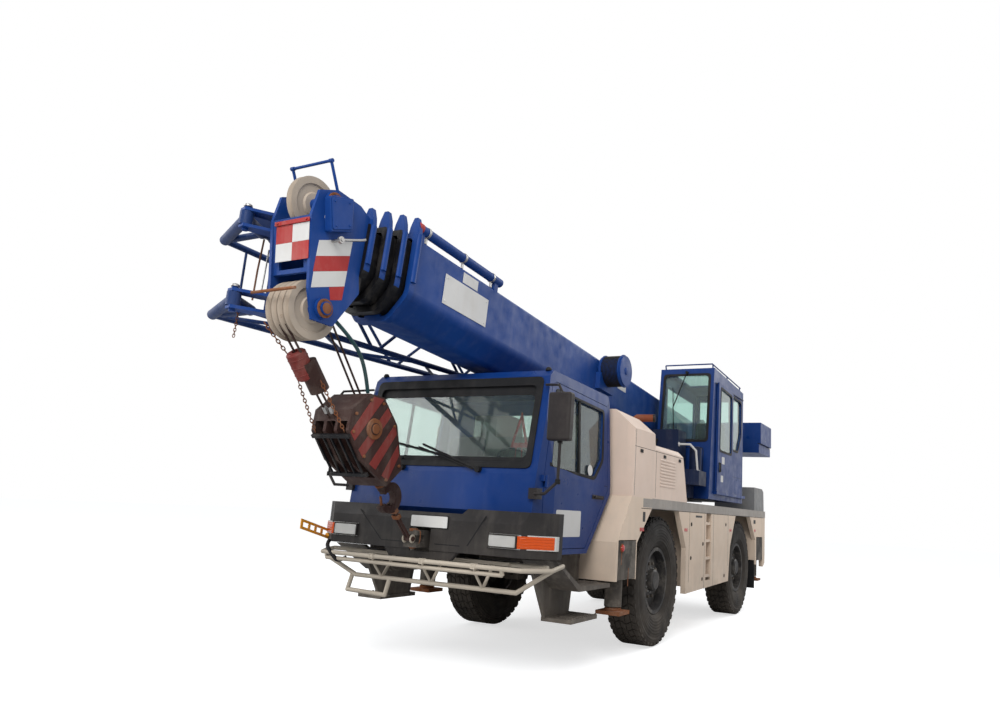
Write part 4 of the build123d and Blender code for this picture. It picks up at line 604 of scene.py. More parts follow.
def dressed_tyre(name, rubber):
    """Replaces a packed tyre by a carcass with tread blocks."""
    centre, side, inner_x, outer_x = middle_of(name)
    half = abs(outer_x - inner_x) / 2
    base = WHEEL_R - TREAD_DEPTH
    inward = [(0.331, -0.131), (0.356, -0.133), (0.372, -0.150), (0.392, -0.163), (0.41, -half + 0.018),
              (0.418, -half + 0.010), (0.45, -half + 0.006), (0.50, -half), (0.56, -half + 0.001),
              (0.566, -half + 0.005), (0.605, -half + 0.009), (0.611, -half + 0.006), (0.640, -half + 0.016),
              (base - 0.010, -0.158), (base, -0.140)]
    bm = bmesh.new()
    turned(bm, centre, (1, 0, 0), inward + [(r, -x) for r, x in reversed(inward)], 96)
    step = 360 / BLOCKS_ROUND
    for inner, outer, skew, first in TREAD_ROWS:
        for k in range(BLOCKS_ROUND):
            angle = first + k * step
            tread_block(bm, centre, side, inner, outer, angle, step * 0.80, skew, base - 0.004, WHEEL_R)
    for k in range(BLOCKS_ROUND):
        angle = k * 360 / BLOCKS_ROUND
        for way in (-1, 1):
            tread_block(bm, centre, side, 0.146 * way, 0.166 * way, angle, 4.6, 0, base - 0.052,
                        WHEEL_R - 0.012)
    tyre = keep(bm, name + "_tread", rubber, name)
    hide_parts(name)
    return len(tyre.data.polygons)


for wheel in WHEELS:
    faces = dressed_tyre("tyre_" + wheel, "tyre_" + wheel.split("_")[0])
print("faces in one tyre", faces)

# %% [markdown]
# ## Hubs
# A planetary hub stands out of each rim: a domed cap in worn grey with a bolted flange, and a ring of wheel
# nuts. Each nut is a six-sided prism with a washer under it, placed by turning one position round the axle.

# %% Hub caps, flange bolts and wheel nuts
CAP_PROFILE = [(0.001, -0.004), (0.055, -0.006), (0.088, -0.018), (0.106, -0.040), (0.113, -0.075),
               (0.113, -0.09), (0.001, -0.09)]


def hub(name):
    """A domed cap with its flange bolts, and the ring of wheel nuts round it."""
    centre, side, _, face_x = middle_of(name)

    def ring(count, r, sunk):
        """Places evenly round the axle, sunk behind the rim's outermost face."""
        for k in range(count):
            a = 2 * pi * k / count
            yield Vector((face_x - side * sunk, centre.y + r * cos(a), centre.z + r * sin(a)))

    def stud(spot, start, end, r, sides):
        bar(bm, spot + Vector((side * start, 0, 0)), spot + Vector((side * end, 0, 0)), r, sides)

    bm = bmesh.new()
    turned(bm, (face_x, centre.y, centre.z), (side, 0, 0), CAP_PROFILE, 40)
    for spot in ring(12, 0.131, 0.074):
        stud(spot, -0.012, 0.010, 0.010, 6)
    keep(bm, name + "_cap", "locker_grey", name, 0.002)
    bm = bmesh.new()
    for spot in ring(10, 0.180, 0.062):
        stud(spot, -0.030, -0.022, 0.026, 16)
        stud(spot, -0.024, 0.004, 0.0175, 6)
    keep(bm, name + "_nuts", "axle_iron", name, 0.0015)


for wheel in WHEELS:
    hub("rim_" + wheel)
print("hubs done")

# %% [markdown]
# ## The cab's skin, and what is fixed on it
# The cab's side leans in above the belt and its front leans back, so a piece that lies on it needs the
# skin's place at any height. Two small functions give that. Rubber seals, seams and handles are then placed
# on the skin and stand a few millimetres proud of it.

# %% Windscreen surround, door window surrounds and seams
CAB_BELT = 1.66
BOTH_SIDES = ((1, "left"), (-1, "right"))


def skin_x(y, z, proud=0.0):
    """How far the cab's side is from the middle, at a place along it and a height."""
    lean = max(0.0, z - CAB_BELT) * 0.055 / 0.93
    nose = max(0.0, -2.25 - y) * 0.075 / 0.45
    return 1.04 - lean - nose + proud


def screen_y(z, proud=0.0):
    """How far forward the cab's front is at a height."""
    if z > CAB_BELT:
        return -2.51 + (z - CAB_BELT) * 0.15 / 0.87 - proud
    return -2.54 + (z - 1.34) * 0.03 / 0.32 - proud


def band(bm, outer, inner, thick):
    """A flat ring between two outlines with the same number of places, made thick along a vector."""
    thick = Vector(thick)
    loops = [[bm.verts.new(p) for p in outer], [bm.verts.new(p) for p in inner],
             [bm.verts.new(Vector(p) + thick) for p in inner],
             [bm.verts.new(Vector(p) + thick) for p in outer]]
    for a, b in zip(loops, loops[1:] + loops[:1]):
        for k in range(len(a)):
            bm.faces.new((a[k - 1], a[k], b[k], b[k - 1]))


def on_screen(x, z, proud=0.0):
    return at(x, screen_y(z, proud), z)


def screen_loop(half, low, high, r, proud):
    return rounded([on_screen(x, z, proud) for x, z in rectangle(-half, half, low, high)], r)


def swell(points, by):
    """An outline of pairs moved outwards from its middle by about the given length."""
    cy = sum(p[0] for p in points) / len(points)
    cz = sum(p[1] for p in points) / len(points)
    out = []
    for y, z in points:
        d = hypot(y - cy, z - cz)
        out.append((y + (y - cy) / d * by, z + (z - cz) / d * by))
    return out


bm = bmesh.new()
band(bm, screen_loop(0.935, 1.705, 2.522, 0.06, 0.0), screen_loop(0.872, 1.758, 2.442, 0.05, 0.0),
     (0, -0.012, 0))
keep(bm, "windscreen_rubber", "rubber", "cab_shell", 0.004)
bm = bmesh.new()
band(bm, screen_loop(0.895, 1.735, 2.465, 0.05, -0.017), screen_loop(0.855, 1.80, 2.36, 0.05, -0.017),
     (0, 0.006, 0))
keep(bm, "windscreen_black_edge", "rubber", "cab_shell")

DOOR_GLASS = [(-2.32, 1.74), (-1.48, 1.70), (-1.29, 1.88), (-1.25, 2.37), (-2.235, 2.42)]
DIVIDER = [(-1.800, 1.722), (-1.765, 1.720), (-1.755, 2.390), (-1.790, 2.392)]
HANDLE_CUP = [(-1.50, 1.50), (-1.24, 1.50), (-1.235, 1.535), (-1.50, 1.54)]
STICKER = [(-1.55 + 0.052 * cos(k * pi / 10), 1.765 + 0.052 * sin(k * pi / 10)) for k in range(20)]
for side, word in BOTH_SIDES:
    door = "cab_door_" + word

    def on_side(y, z, proud=0.0):
        return at(side * skin_x(y, z, proud), y, z)

    bm = bmesh.new()
    band(bm, rounded([on_side(y, z) for y, z in swell(DOOR_GLASS, 0.030)], 0.05),
         rounded([on_side(y, z) for y, z in swell(DOOR_GLASS, -0.012)], 0.04), (side * 0.007, 0, 0))
    keep(bm, door + "_rubber", "rubber", door, 0.002)
    bm = bmesh.new()
    plate(bm, on_side, DIVIDER, (side * 0.016, 0, 0), proud=-0.016)
    keep(bm, door + "_divider", "rubber", door, 0.002)
    bm = bmesh.new()
    plate(bm, on_side, HANDLE_CUP, (side * 0.006, 0, 0))
    plate(bm, on_side, rectangle(-1.47, -1.30, 1.512, 1.530), (side * 0.022, 0, 0), proud=0.005)
    keep(bm, door + "_handle", "mirror_plastic", door, 0.003)
    # A dark blue line along the fold below the belt is painted shade of the fold.
    bm = bmesh.new()
    plate(bm, on_side, rectangle(-2.395, -1.162, 1.632, 1.638), (side * 0.0015, 0, 0))
    keep(bm, door + "_crease_painted_shade", "dark_blue", door)
    if side > 0:
        bm = bmesh.new()
        plate(bm, on_side, rectangle(-2.20, -1.72, 1.15, 1.38), (side * 0.0012, 0, 0), 0.02)
        keep(bm, "door_blank_label", "white_paint", door)
        bm = bmesh.new()
        plate(bm, on_side, STICKER, (side * 0.001, 0, 0), proud=-0.004)
        keep(bm, "door_round_sticker", "white_paint", door)
    bm = bmesh.new()
    plate(bm, on_side, rectangle(-1.12, -1.116, 1.60, 2.50), (side * 0.001, 0, 0))
    keep(bm, "cab_rear_seam_" + word, "dark_blue", "cab_shell")
print("cab seals and seams done")

# %% [markdown]
# ## Wipers, roof lamps and mirrors
# Two wipers park low on the screen. Each has two arms side by side from a pivot under the glass, with a
# long thin blade held in the middle. The mirror housings get a glass on the side that faces the driver, and
# their arms get clamps. A small lamp sits on each front corner of the roof.

# %% Wipers, mirror glasses and small roof lamps
PIVOT_Z, TIP_Z = 1.685, 1.90
for number, pivot_x, tip_x in ((1, 0.42, -0.22), (2, -0.42, -0.85)):
    blade_start = on_screen(tip_x + 0.42, TIP_Z - 0.13, 0.022)
    blade_end = on_screen(tip_x - 0.40, TIP_Z + 0.03, 0.022)
    below = Vector((0, 0.012, -0.008))
    bm = bmesh.new()
    bar(bm, on_screen(pivot_x, PIVOT_Z, 0.03), on_screen(tip_x, TIP_Z, 0.035), 0.011, 8)
    bar(bm, on_screen(pivot_x - 0.05, PIVOT_Z, 0.028), on_screen(tip_x - 0.05, TIP_Z - 0.02, 0.033), 0.006, 8)
    bar(bm, on_screen(pivot_x, PIVOT_Z, -0.02), on_screen(pivot_x, PIVOT_Z, 0.045), 0.026, 16)
    bar(bm, blade_start, blade_end, 0.010, 6)
    bar(bm, blade_start + below, blade_end + below, 0.006, 6)
    keep(bm, "wiper_%d" % number, "rubber", "cab_shell")

ROOF_LAMP = [(0.001, 0.0), (0.028, 0.0), (0.028, 0.012), (0.018, 0.028), (0.001, 0.033)]
for side, word in BOTH_SIDES:
    bm = bmesh.new()
    near, far = sorted((side * 1.162, side * 1.328))
    block(bm, at(near, -2.562, 1.955), at(far, -2.556, 2.305))
    keep(bm, "mirror_glass_" + word, "mirror_glass", "mirrors", 0.002)
    bm = bmesh.new()
    for z in (1.60, 1.93):
        bar(bm, at(side * 1.245, -2.59, z - 0.02), at(side * 1.245, -2.59, z + 0.02), 0.022, 16)
    keep(bm, "mirror_clamps_" + word, "rubber", "mirrors", 0.002)
    bm = bmesh.new()
    turned(bm, at(side * 0.93, -2.30, 2.588), (0, 0, 1), ROOF_LAMP, 20)
    keep(bm, "roof_lamp_" + word, "rubber", "cab_shell")
print("wipers and mirrors done")

# %% [markdown]
# ## Bumper, lamps and the plates
# The wide plastic bumper holds a clear lamp unit on each side, with an amber turn lamp that runs round the
# corner. Two slanted grooves divide its wings from the lower middle, where a blank number plate sits on its
# holder. A lens is a thin shell over a silver bowl, so the bowl goes in first and the ribbed lens lies over
# it.

# %% Lamp bowls, lenses, grooves and the blank plate
finish("lamp_silver", (0.62, 0.61, 0.58), 0.85, 0.25, 0.6, dust=0.08, streak=0.05, grain=0.0004)
nodes["headlamps"].data.materials[0] = finishes["lamp_silver"]
BUMPER_Y = -2.70
LAMP_BOWL = [(0.001, -0.012), (0.022, -0.010), (0.040, -0.002), (0.047, 0.006), (0.043, 0.006),
             (0.037, -0.004), (0.001, -0.016)]
LENS, LENS_RIM = rectangle(0.712, 0.962, 1.064, 1.152), rectangle(0.700, 0.972, 1.054, 1.162)
PLATE_SCREW = [(0.0005, 0.0), (0.006, 0.0), (0.004, 0.003), (0.0005, 0.004)]
TURN_LENS = [(0.975, -2.704), (1.003, -2.704), (1.230, -2.540), (1.226, -2.534), (1.001, -2.698),
             (0.975, -2.698)]
TURN_RIDGE = [(0.980, -2.706), (1.004, -2.706), (1.226, -2.546), (1.222, -2.540), (1.002, -2.700),
              (0.980, -2.700)]
GROOVES = {
    1: ((0.655, 1.295), (0.668, 1.295), (0.500, 1.045), (0.487, 1.045)),
    -1: ((0.690, 1.290), (0.703, 1.290), (0.423, 1.036), (0.410, 1.036)),
}


def on_bumper(x, z, proud=0.0):
    return at(x, BUMPER_Y - proud, z)


for side, word in BOTH_SIDES:
    def on_wing(x, z, proud=0.0):
        return on_bumper(side * x, z, proud)

    bm = bmesh.new()
    for x in (0.775, 0.895):
        turned(bm, on_wing(x, 1.108, 0.006), (0, -1, 0), LAMP_BOWL, 28)
    keep(bm, "lamp_bowls_" + word, "lamp_silver", "headlamps")
    bm = bmesh.new()
    plate(bm, on_wing, LENS, (0, -0.004, 0), 0.012, 0.016)
    for k in range(9):
        x = side * (0.728 + k * 0.027)
        block(bm, on_bumper(x - 0.002, 1.072, 0.0185), on_bumper(x + 0.002, 1.144, 0.0155))
    keep(bm, "lamp_lens_" + word, "lamp_clear", "headlamps", 0.002)
    bm = bmesh.new()
    band(bm, [on_wing(x, z, -0.002) for x, z in LENS_RIM], [on_wing(x, z, -0.002) for x, z in LENS],
         (0, -0.023, 0))
    keep(bm, "lamp_rim_" + word, "bumper_plastic", "headlamps", 0.002)
    bm = bmesh.new()
    slab(bm, [at(side * x, y - 0.006, 1.058) for x, y in TURN_LENS], (0, 0, 0.098))
    for k in range(4):
        slab(bm, [at(side * x, y - 0.007, 1.070 + k * 0.022) for x, y in TURN_RIDGE], (0, 0, 0.006))
    keep(bm, "turn_lens_" + word, "lamp_amber", "headlamps", 0.002)
    # The dark strips in the two slanted grooves and the level groove are painted shade of the grooves, in the
    # rubber finish.
    bm = bmesh.new()
    plate(bm, on_wing, GROOVES[side], (0, 0.003, 0), proud=0.001)
    plate(bm, on_wing, rectangle(0.16, 0.42, 1.036, 1.044), (0, 0.003, 0), proud=0.001)
    keep(bm, "bumper_groove_shade_" + word, "rubber", "bumper")

bm = bmesh.new()
plate(bm, on_bumper, rectangle(-0.110, 0.288, 1.168, 1.276), (0, -0.008, 0), 0.010, -0.001)
holder = keep(bm, "plate_holder", "rubber", "bumper", 0.002)
bm = bmesh.new()
plate(bm, on_bumper, rectangle(-0.103, 0.281, 1.175, 1.269), (0, -0.0025, 0), 0.008, 0.007)
for x in (-0.06, 0.24):
    turned(bm, on_bumper(x, 1.222, 0.0095), (0, -1, 0), PLATE_SCREW, 12)
keep(bm, "blank_plate", "white_paint", "bumper", 0.001)
print("bumper dressed, plate holder", round(holder.dimensions.x, 3), "m wide")

# %% [markdown]
# ## Tow jaw, stop bar and the folded rack
# The tow jaw carries a loose pin with a cap and a clip, rusty from use. A slotted yellow bar sticks out at
# the right corner and a bent black hose lies over the rack there. The rack's rails are worn down to a pale
# paint; their ends are closed with caps, and flat straps hold them to the stays.

# %% Jaw pin, yellow bar, rack straps and hose
JAW_PIN = at(0, -2.790, 1.075)
RACK_Y, RACK_Z = -2.790, 0.900
PIN_TOP = [(0.001, 0.085), (0.030, 0.085), (0.036, 0.078), (0.036, 0.062), (0.020, 0.058), (0.001, 0.058)]
PIN_FOOT = [(0.001, -0.060), (0.026, -0.060), (0.026, -0.072), (0.017, -0.082), (0.001, -0.084)]
bm = bmesh.new()
for profile in (PIN_TOP, PIN_FOOT):
    turned(bm, JAW_PIN, (0, 0, 1), profile, 24)
keep(bm, "tow_pin_caps", "rust", "carrier_frame", 0.002)
pipe("tow_pin_clip", [at(0.036, -2.79, 1.145), at(0.075, -2.80, 1.150), at(0.085, -2.80, 1.12),
                      at(0.075, -2.79, 1.03), at(0.03, -2.79, 1.0)], 0.004, "rust", "carrier_frame", True)


def on_stop(y, z):
    """A place on the stop bar's outer face."""
    return at(-1.215, y, z)


bm = bmesh.new()
stop_outer = [on_stop(-2.880, 1.175), on_stop(-2.50, 1.075), on_stop(-2.50, 0.985), on_stop(-2.880, 1.085)]
stop_slot = [on_stop(-2.855, 1.145), on_stop(-2.54, 1.062), on_stop(-2.54, 1.020), on_stop(-2.855, 1.103)]
band(bm, stop_outer, stop_slot, (-0.012, 0, 0))
aside = Vector((0, 0.012, 0))
for t in (0.25, 0.5, 0.75):
    low, high = stop_slot[3].lerp(stop_slot[2], t), stop_slot[0].lerp(stop_slot[1], t)
    slab(bm, [low - aside, low + aside, high + aside, high - aside], (-0.012, 0, 0))
bar(bm, at(-1.16, -2.54, 1.03), at(-1.235, -2.54, 1.03), 0.016, 12)
keep(bm, "yellow_stop_bar", "yellow_paint", "bumper", 0.002)
pipe("rack_hose", [at(-1.03, -2.70, 0.990), at(-0.99, -2.76, 0.965), at(-0.93, -2.80, 0.930),
                   at(-0.86, -2.80, 0.870), at(-0.83, -2.76, 0.820), at(-0.80, -2.70, 0.86)],
     0.017, "rubber", "front_rack", True, 6)
bm = bmesh.new()
for middle in (-0.42, 0.12, 0.64):
    band(bm, [at(x, RACK_Y - 0.024, z) for x, z in rectangle(middle - 0.022, middle + 0.022, 0.878, 0.922)],
         [at(x, RACK_Y - 0.024, z) for x, z in rectangle(middle - 0.012, middle + 0.012, 0.888, 0.912)],
         (0, 0.05, 0))
    bar(bm, at(middle - 0.032, RACK_Y, RACK_Z), at(middle + 0.032, RACK_Y, RACK_Z), 0.0225, 16)
keep(bm, "rack_straps", "rack_cream", "front_rack", 0.002)
bm = bmesh.new()
slab(bm, rounded([at(-0.775, -2.675, 0.570), at(-0.34, -2.675, 0.562), at(-0.34, -2.595, 0.562),
                  at(-0.775, -2.595, 0.570)], 0.015), (0, 0, 0.010))
for k in range(7):
    x = -0.73 + k * 0.06
    bar(bm, at(x, -2.665, 0.581), at(x, -2.605, 0.581), 0.005, 6)
keep(bm, "rack_step_tread", "step_steel", "front_rack", 0.002)
print("front dressed")

# %% [markdown]
# ## Signs on the boom's head
# The head is the part that sticks out over the road in front of the cab, so it is marked in red and white:
# slanted stripes on its left cheek, and a square of four red and white fields on its front. Both are thin
# painted plates. The paint is scuffed, so each field takes the same worn finish as other paint.

# %% Stripes, front sign, shaft keepers, side box and small blank labels
HEAD_SIDE = 0.2
# name, paint, outline along the boom and square to it
CHEEK_STRIPES = (
    ("white_upper", "white_paint", [(-8.205, 0.075), (-7.905, 0.215), (-7.905, 0.085), (-8.205, -0.045)]),
    ("red_middle", "red_paint", [(-8.205, -0.045), (-7.905, 0.085), (-7.905, -0.035), (-8.205, -0.160)]),
    ("white_lower", "white_paint", [(-8.200, -0.160), (-7.905, -0.035), (-7.905, -0.155), (-8.195, -0.275)]),
    ("red_lower", "red_paint", [(-8.040, -0.213), (-7.905, -0.155), (-7.905, -0.262), (-8.010, -0.300)]),
)
LABEL = [(-8.208, 0.345), (-8.090, 0.405), (-8.080, 0.305), (-8.198, 0.250)]
LABEL_FIELD = [(-8.203, 0.330), (-8.150, 0.356), (-8.142, 0.300), (-8.195, 0.276)]
SIDE_BOX = [(-8.235, 0.400), (-8.020, 0.480), (-7.975, 0.235), (-8.170, 0.150)]
SIDE_LID = [(-8.225, 0.388), (-8.030, 0.462), (-7.990, 0.247), (-8.163, 0.167)]


def on_cheek(y, z, proud=0.0):
    """A place on the head's left cheek, along the boom and square to it."""
    return on_boom(HEAD_SIDE + proud, y, z)


for name, paint, outline in CHEEK_STRIPES:
    bm = bmesh.new()
    plate(bm, on_cheek, outline, (0.0016, 0, 0))
    keep(bm, "cheek_" + name, paint, "boom_head", 0.0006)
bm = bmesh.new()
plate(bm, on_cheek, LABEL, (0.003, 0, 0))
keep(bm, "cheek_blank_label", "white_paint", "boom_head", 0.001)
bm = bmesh.new()
plate(bm, on_cheek, LABEL_FIELD, (0.0012, 0, 0), proud=0.003)
keep(bm, "cheek_label_field", "rubber", "boom_head")
bm = bmesh.new()
plate(bm, on_cheek, SIDE_BOX, (0.062, 0, 0), 0.02)
plate(bm, on_cheek, SIDE_LID, (0.008, 0, 0), 0.02, 0.062)
for y, z in ((-8.19, 0.375), (-8.06, 0.425), (-8.02, 0.262), (-8.14, 0.205)):
    bar(bm, on_cheek(y, z, 0.066), on_cheek(y, z, 0.076), 0.008, 6)
keep(bm, "head_side_box", "boom_blue", "boom_head", 0.004)
EYE_Y, EYE_Z = -8.090, 0.118
pipe("head_eye_rod", [on_boom(0.285, -8.085, 0.120), on_boom(0.285, -7.98, 0.165),
                      on_boom(0.290, -7.90, 0.200), on_boom(0.295, -7.875, 0.215)],
     0.010, "steel", "boom_head")
bm = bmesh.new()
turned(bm, on_boom(0.285, EYE_Y, EYE_Z), (1, 0, 0), rectangle(0.012, 0.026, -0.010, 0.010), 20)
bar(bm, on_cheek(EYE_Y, EYE_Z, -0.005), on_boom(0.30, EYE_Y, EYE_Z), 0.011, 12)
keep(bm, "head_eye_ring", "steel", "boom_head", 0.001)

FRONT_TOP, FRONT_BOTTOM = on_boom(0, -8.310, 0.225), on_boom(0, -8.213, -0.284)
UP_FRONT = (FRONT_TOP - FRONT_BOTTOM).normalized()


def on_front(x, up, proud=0.004):
    """A place on the head's sloped front, counted upwards from the middle of its lower edge."""
    return FRONT_BOTTOM + Vector((x, 0, 0)) + UP_FRONT * up + Vector((0, -proud, 0))


LEFT_HALF, RIGHT_HALF = (0.030, 0.190), (-0.130, 0.030)
UPPER, LOWER = (0.335, 0.465), (0.205, 0.335)
for name, paint, wide, tall in (
    ("front_sign_red_a", "red_paint", RIGHT_HALF, UPPER),
    ("front_sign_white_a", "white_paint", LEFT_HALF, UPPER),
    ("front_sign_white_b", "white_paint", RIGHT_HALF, LOWER),
    ("front_sign_red_b", "red_paint", LEFT_HALF, LOWER),
):
    bm = bmesh.new()
    plate(bm, on_front, rectangle(*wide, *tall), (0, -0.004, 0), proud=0.004)
    keep(bm, name, paint, "boom_head", 0.0015)
bm = bmesh.new()
plate(bm, on_front, rectangle(-0.14, 0.195, 0.465, 0.495), (0, -0.010, 0), proud=0.008)
for x in (-0.11, 0.17):
    screw = on_front(x, 0.480, 0.018)
    bar(bm, screw, screw + Vector((0, -0.008, 0)), 0.010, 6)
keep(bm, "front_sign_top_bar", "red_paint", "boom_head", 0.002)

SHAFT_R = 0.048
KEEPER = rectangle(SHAFT_R + 0.001, SHAFT_R + 0.020, 0.0, 0.010)
SHAFT_CAP = [(0.001, 0.0), (0.040, 0.0), (0.040, 0.004), (0.012, 0.007), (0.001, 0.007)]
bm = bmesh.new()
for y, z in ((-8.063, -0.384), (-8.150, 0.395)):
    turned(bm, on_boom(0.222, y, z), (1, 0, 0), KEEPER, 32)
    for k in range(6):
        a = k * pi / 3
        spot = on_boom(0.222, y + (SHAFT_R + 0.011) * cos(a), z + (SHAFT_R + 0.011) * sin(a))
        bar(bm, spot + Vector((0.008, 0, 0)), spot + Vector((0.016, 0, 0)), 0.006, 6)
    turned(bm, on_boom(0.245, y, z), (1, 0, 0), SHAFT_CAP, 24)
keep(bm, "shaft_keepers", "rust", "boom_head", 0.001)
pipe("rope_guard_rod", [HEAD + Vector((x, -0.262, 0.075)) for x in (-0.21, 0.0, 0.21)], 0.011, "rust",
     "boom_head")
print("head dressed, its front is", round((FRONT_TOP - FRONT_BOTTOM).length, 3), "m tall")

# %% [markdown]
# ## Blue posts on the boom's collars
# The inner boom parts are black with grease, but the frame at each mouth keeps its blue paint on the posts
# and the pointed fins. The colour is set face by face from where the face lies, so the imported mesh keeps
# its shape.

# %% Paint the posts and fins of the collars
GREASY, BLUE = 0, 1
COLLAR_STEP = 0.034
FRAME_START, HEAD_START = -7.30, -7.79
for steps_in, name in ((1, "boom_part_1"), (2, "boom_part_2"), (3, "boom_head")):
    mesh = nodes[name].data
    mesh.materials.clear()
    mesh.materials.append(finishes["grease_and_shade_black"])
    mesh.materials.append(finishes["boom_blue"])
    count = 0
    for face in mesh.polygons:
        spot = nodes[name].matrix_world @ face.center - FOOT
        along, square = -spot.dot(ALONG), spot.dot(SQUARE)
        post = abs(spot.x) > 0.332 - steps_in * COLLAR_STEP
        fin = square > 0.510 - steps_in * COLLAR_STEP
        blue = (name == "boom_head" and along < HEAD_START) or ((post or fin) and along < FRAME_START)
        face.material_index = BLUE if blue else GREASY
        count += blue
    print(name, "blue faces", count, "of", len(mesh.polygons))

# %% [markdown]
# ## Hook block, its chains and the red weight
# The hook block hangs on the hoist rope and is tied back to the tow jaw, so it stands at a slant. Its own
# frame runs down the rope: lengths count from the head's shaft. The cheeks carry faded red and black
# stripes, the front shows slots between plates, and a red weight for the limit switch hangs on chains round
# the falls.

# %% Stripes, bolts and hook details, weight, chains and hose
LEAN = radians(41.19)
SHEAVE_SHAFT = 1.010
CHEEK_X = 0.184
CHEEK_LINE = [(-0.215, 0.880), (-0.105, 0.775), (0.105, 0.775), (0.215, 0.880), (0.225, 1.120),
              (0.085, 1.445), (-0.115, 1.445), (-0.225, 1.120)]
STRIPE_PITCH, STRIPE_SLANT, STRIPE_END = 0.155, 0.09, 1.46


def on_hook(x, y, down):
    """A place on the hook block, counted down the falls from the head's shaft."""
    return HEAD + Vector((x, y * cos(LEAN) + down * sin(LEAN), y * sin(LEAN) - down * cos(LEAN)))


def along_hook(x, y, down):
    """A length on the hook block, in its own directions."""
    return on_hook(x, y, down) - on_hook(0, 0, 0)


def half_width(down):
    """Half of the cheek's width inside its edge, which narrows above and below."""
    return max(0.06, 0.215 - max(0.0, 0.88 - down) * 1.05 - max(0.0, down - 1.12) * 0.40)


DOWN_HOOK = along_hook(0, 0, 1)
for side, word in BOTH_SIDES:
    for k in range(4):
        top, bottom = 0.800 + k * STRIPE_PITCH, 0.800 + k * STRIPE_PITCH + 0.078
        stripe = [(-half_width(top + STRIPE_SLANT), top + STRIPE_SLANT), (half_width(top), top),
                  (half_width(bottom), bottom), (-half_width(bottom + STRIPE_SLANT), bottom + STRIPE_SLANT)]
        bm = bmesh.new()
        slab(bm, [on_hook(side * 0.1855, y, down) for y, down in stripe if down < STRIPE_END],
             (side * 0.002, 0, 0))
        keep(bm, "block_stripe_%s_%d" % (word, k + 1), "hook_red", "hook_block", 0.0008)
    bm = bmesh.new()
    for y, down in CHEEK_LINE:
        spot = on_hook(side * CHEEK_X, y * 0.88, 1.11 + (down - 1.11) * 0.90)
        bar(bm, spot, spot + Vector((side * 0.012, 0, 0)), 0.013, 6)
    turned(bm, on_hook(side * 0.185, 0, SHEAVE_SHAFT), (side, 0, 0),
           [(0.046, 0.0), (0.082, 0.0), (0.078, 0.014), (0.046, 0.016)], 32)
    turned(bm, on_hook(side * 0.205, 0, SHEAVE_SHAFT), (side, 0, 0),
           [(0.001, 0.0), (0.040, 0.0), (0.036, 0.006), (0.001, 0.006)], 24)
    keep(bm, "block_bolts_" + word, "rust", "hook_block", 0.0015)
bm = bmesh.new()
for k in range(5):
    x = -0.150 + k * 0.075
    slab(bm, [on_hook(x - 0.006, -0.232, 0.90), on_hook(x + 0.006, -0.232, 0.90),
              on_hook(x + 0.006, -0.236, 1.24), on_hook(x - 0.006, -0.236, 1.24)], along_hook(0, -0.016, 0))
for top in (0.895, 1.245):
    slab(bm, [on_hook(x, -0.226, down) for x, down in rectangle(-0.185, 0.185, top, top + 0.03)],
         along_hook(0, -0.022, 0))
keep(bm, "block_front_slats", "grease_and_shade_black", "hook_block", 0.002)
bm = bmesh.new()
for k, sides in enumerate((28, 6, 28)):
    nut_r = 0.056 - k * 0.004
    turned(bm, on_hook(0, 0, 1.470 + k * 0.028), DOWN_HOOK,
           [(0.043, 0.0), (nut_r, 0.003), (nut_r, 0.020), (0.043, 0.024)], sides)
slab(bm, [on_hook(-0.010, -0.060, 1.62), on_hook(0.010, -0.060, 1.62), on_hook(0.010, -0.105, 1.73),
          on_hook(-0.010, -0.105, 1.73)], along_hook(0, 0.012, 0))
keep(bm, "hook_nut_and_latch", "rust", "hook_block", 0.002)

WEIGHT = [(0.024, -0.110), (0.056, -0.110), (0.070, -0.096), (0.070, 0.096), (0.056, 0.110), (0.024, 0.110)]
bm = bmesh.new()
weight_at = on_hook(-0.029, -0.178, 0.34)
turned(bm, weight_at, DOWN_HOOK, WEIGHT, 36)
for k in (-1, 0, 1):
    turned(bm, weight_at + DOWN_HOOK * (k * 0.06), DOWN_HOOK,
           [(0.069, -0.005), (0.073, -0.003), (0.073, 0.003), (0.069, 0.005)], 36)
keep(bm, "limit_switch_weight", "hook_red", "hook_block", 0.003)


def chain(name, start, end, count, node):
    """Links turned a quarter against each other along a straight line."""
    way = (end - start).normalized()
    side = way.orthogonal().normalized()
    other = way.cross(side)
    pitch = (end - start).length / count
    bm = bmesh.new()
    for k in range(count):
        middle = start + way * pitch * (k + 0.5)
        wide = side if k % 2 else other
        angles = [2 * pi * i / 12 for i in range(12)]
        loop = [middle + wide * (cos(a) * pitch * 0.36) + way * (sin(a) * pitch * 0.66) for a in angles]
        for i in range(12):
            bar(bm, loop[i - 1], loop[i], pitch * 0.13, 6)
    return keep(bm, name, "rust", node)


links = chain("weight_chain", on_hook(-0.16, -0.20, -0.02), on_hook(-0.10, -0.190, 0.235), 9, "hook_block")
chain("block_chain_left", on_hook(0.10, -0.19, 0.47), on_hook(0.13, -0.215, 0.885), 15, "hook_block")
chain("block_chain_right", on_hook(-0.12, -0.19, 0.47), on_hook(-0.15, -0.225, 0.885), 15, "hook_block")
pipe("block_hose", [on_hook(0.150, 0.10, 0.12), on_hook(0.185, 0.16, 0.32), on_hook(0.190, 0.17, 0.55),
                    on_hook(0.150, 0.12, 0.76)], 0.014, "hose_green", "hook_block", True, 6)
SLEEVE = [(0.009, -0.03), (0.017, -0.026), (0.017, 0.026), (0.009, 0.03)]
bm = bmesh.new()
for x in (-0.029, 0.029):
    turned(bm, on_hook(x, -0.155, 0.735), DOWN_HOOK, SLEEVE, 12)
keep(bm, "fall_sleeves", "steel", "hook_block", 0.001)
print("hook block dressed, link faces", len(links.data.polygons))

# %% [markdown]
# ## Tie-down strop
# A short wire strop runs from the hook's bowl to the tow jaw's pin and keeps the block from swinging on the
# road. Sleeves clamp its strands below the hook, and the rings of a shackle lie beside it at the jaw.

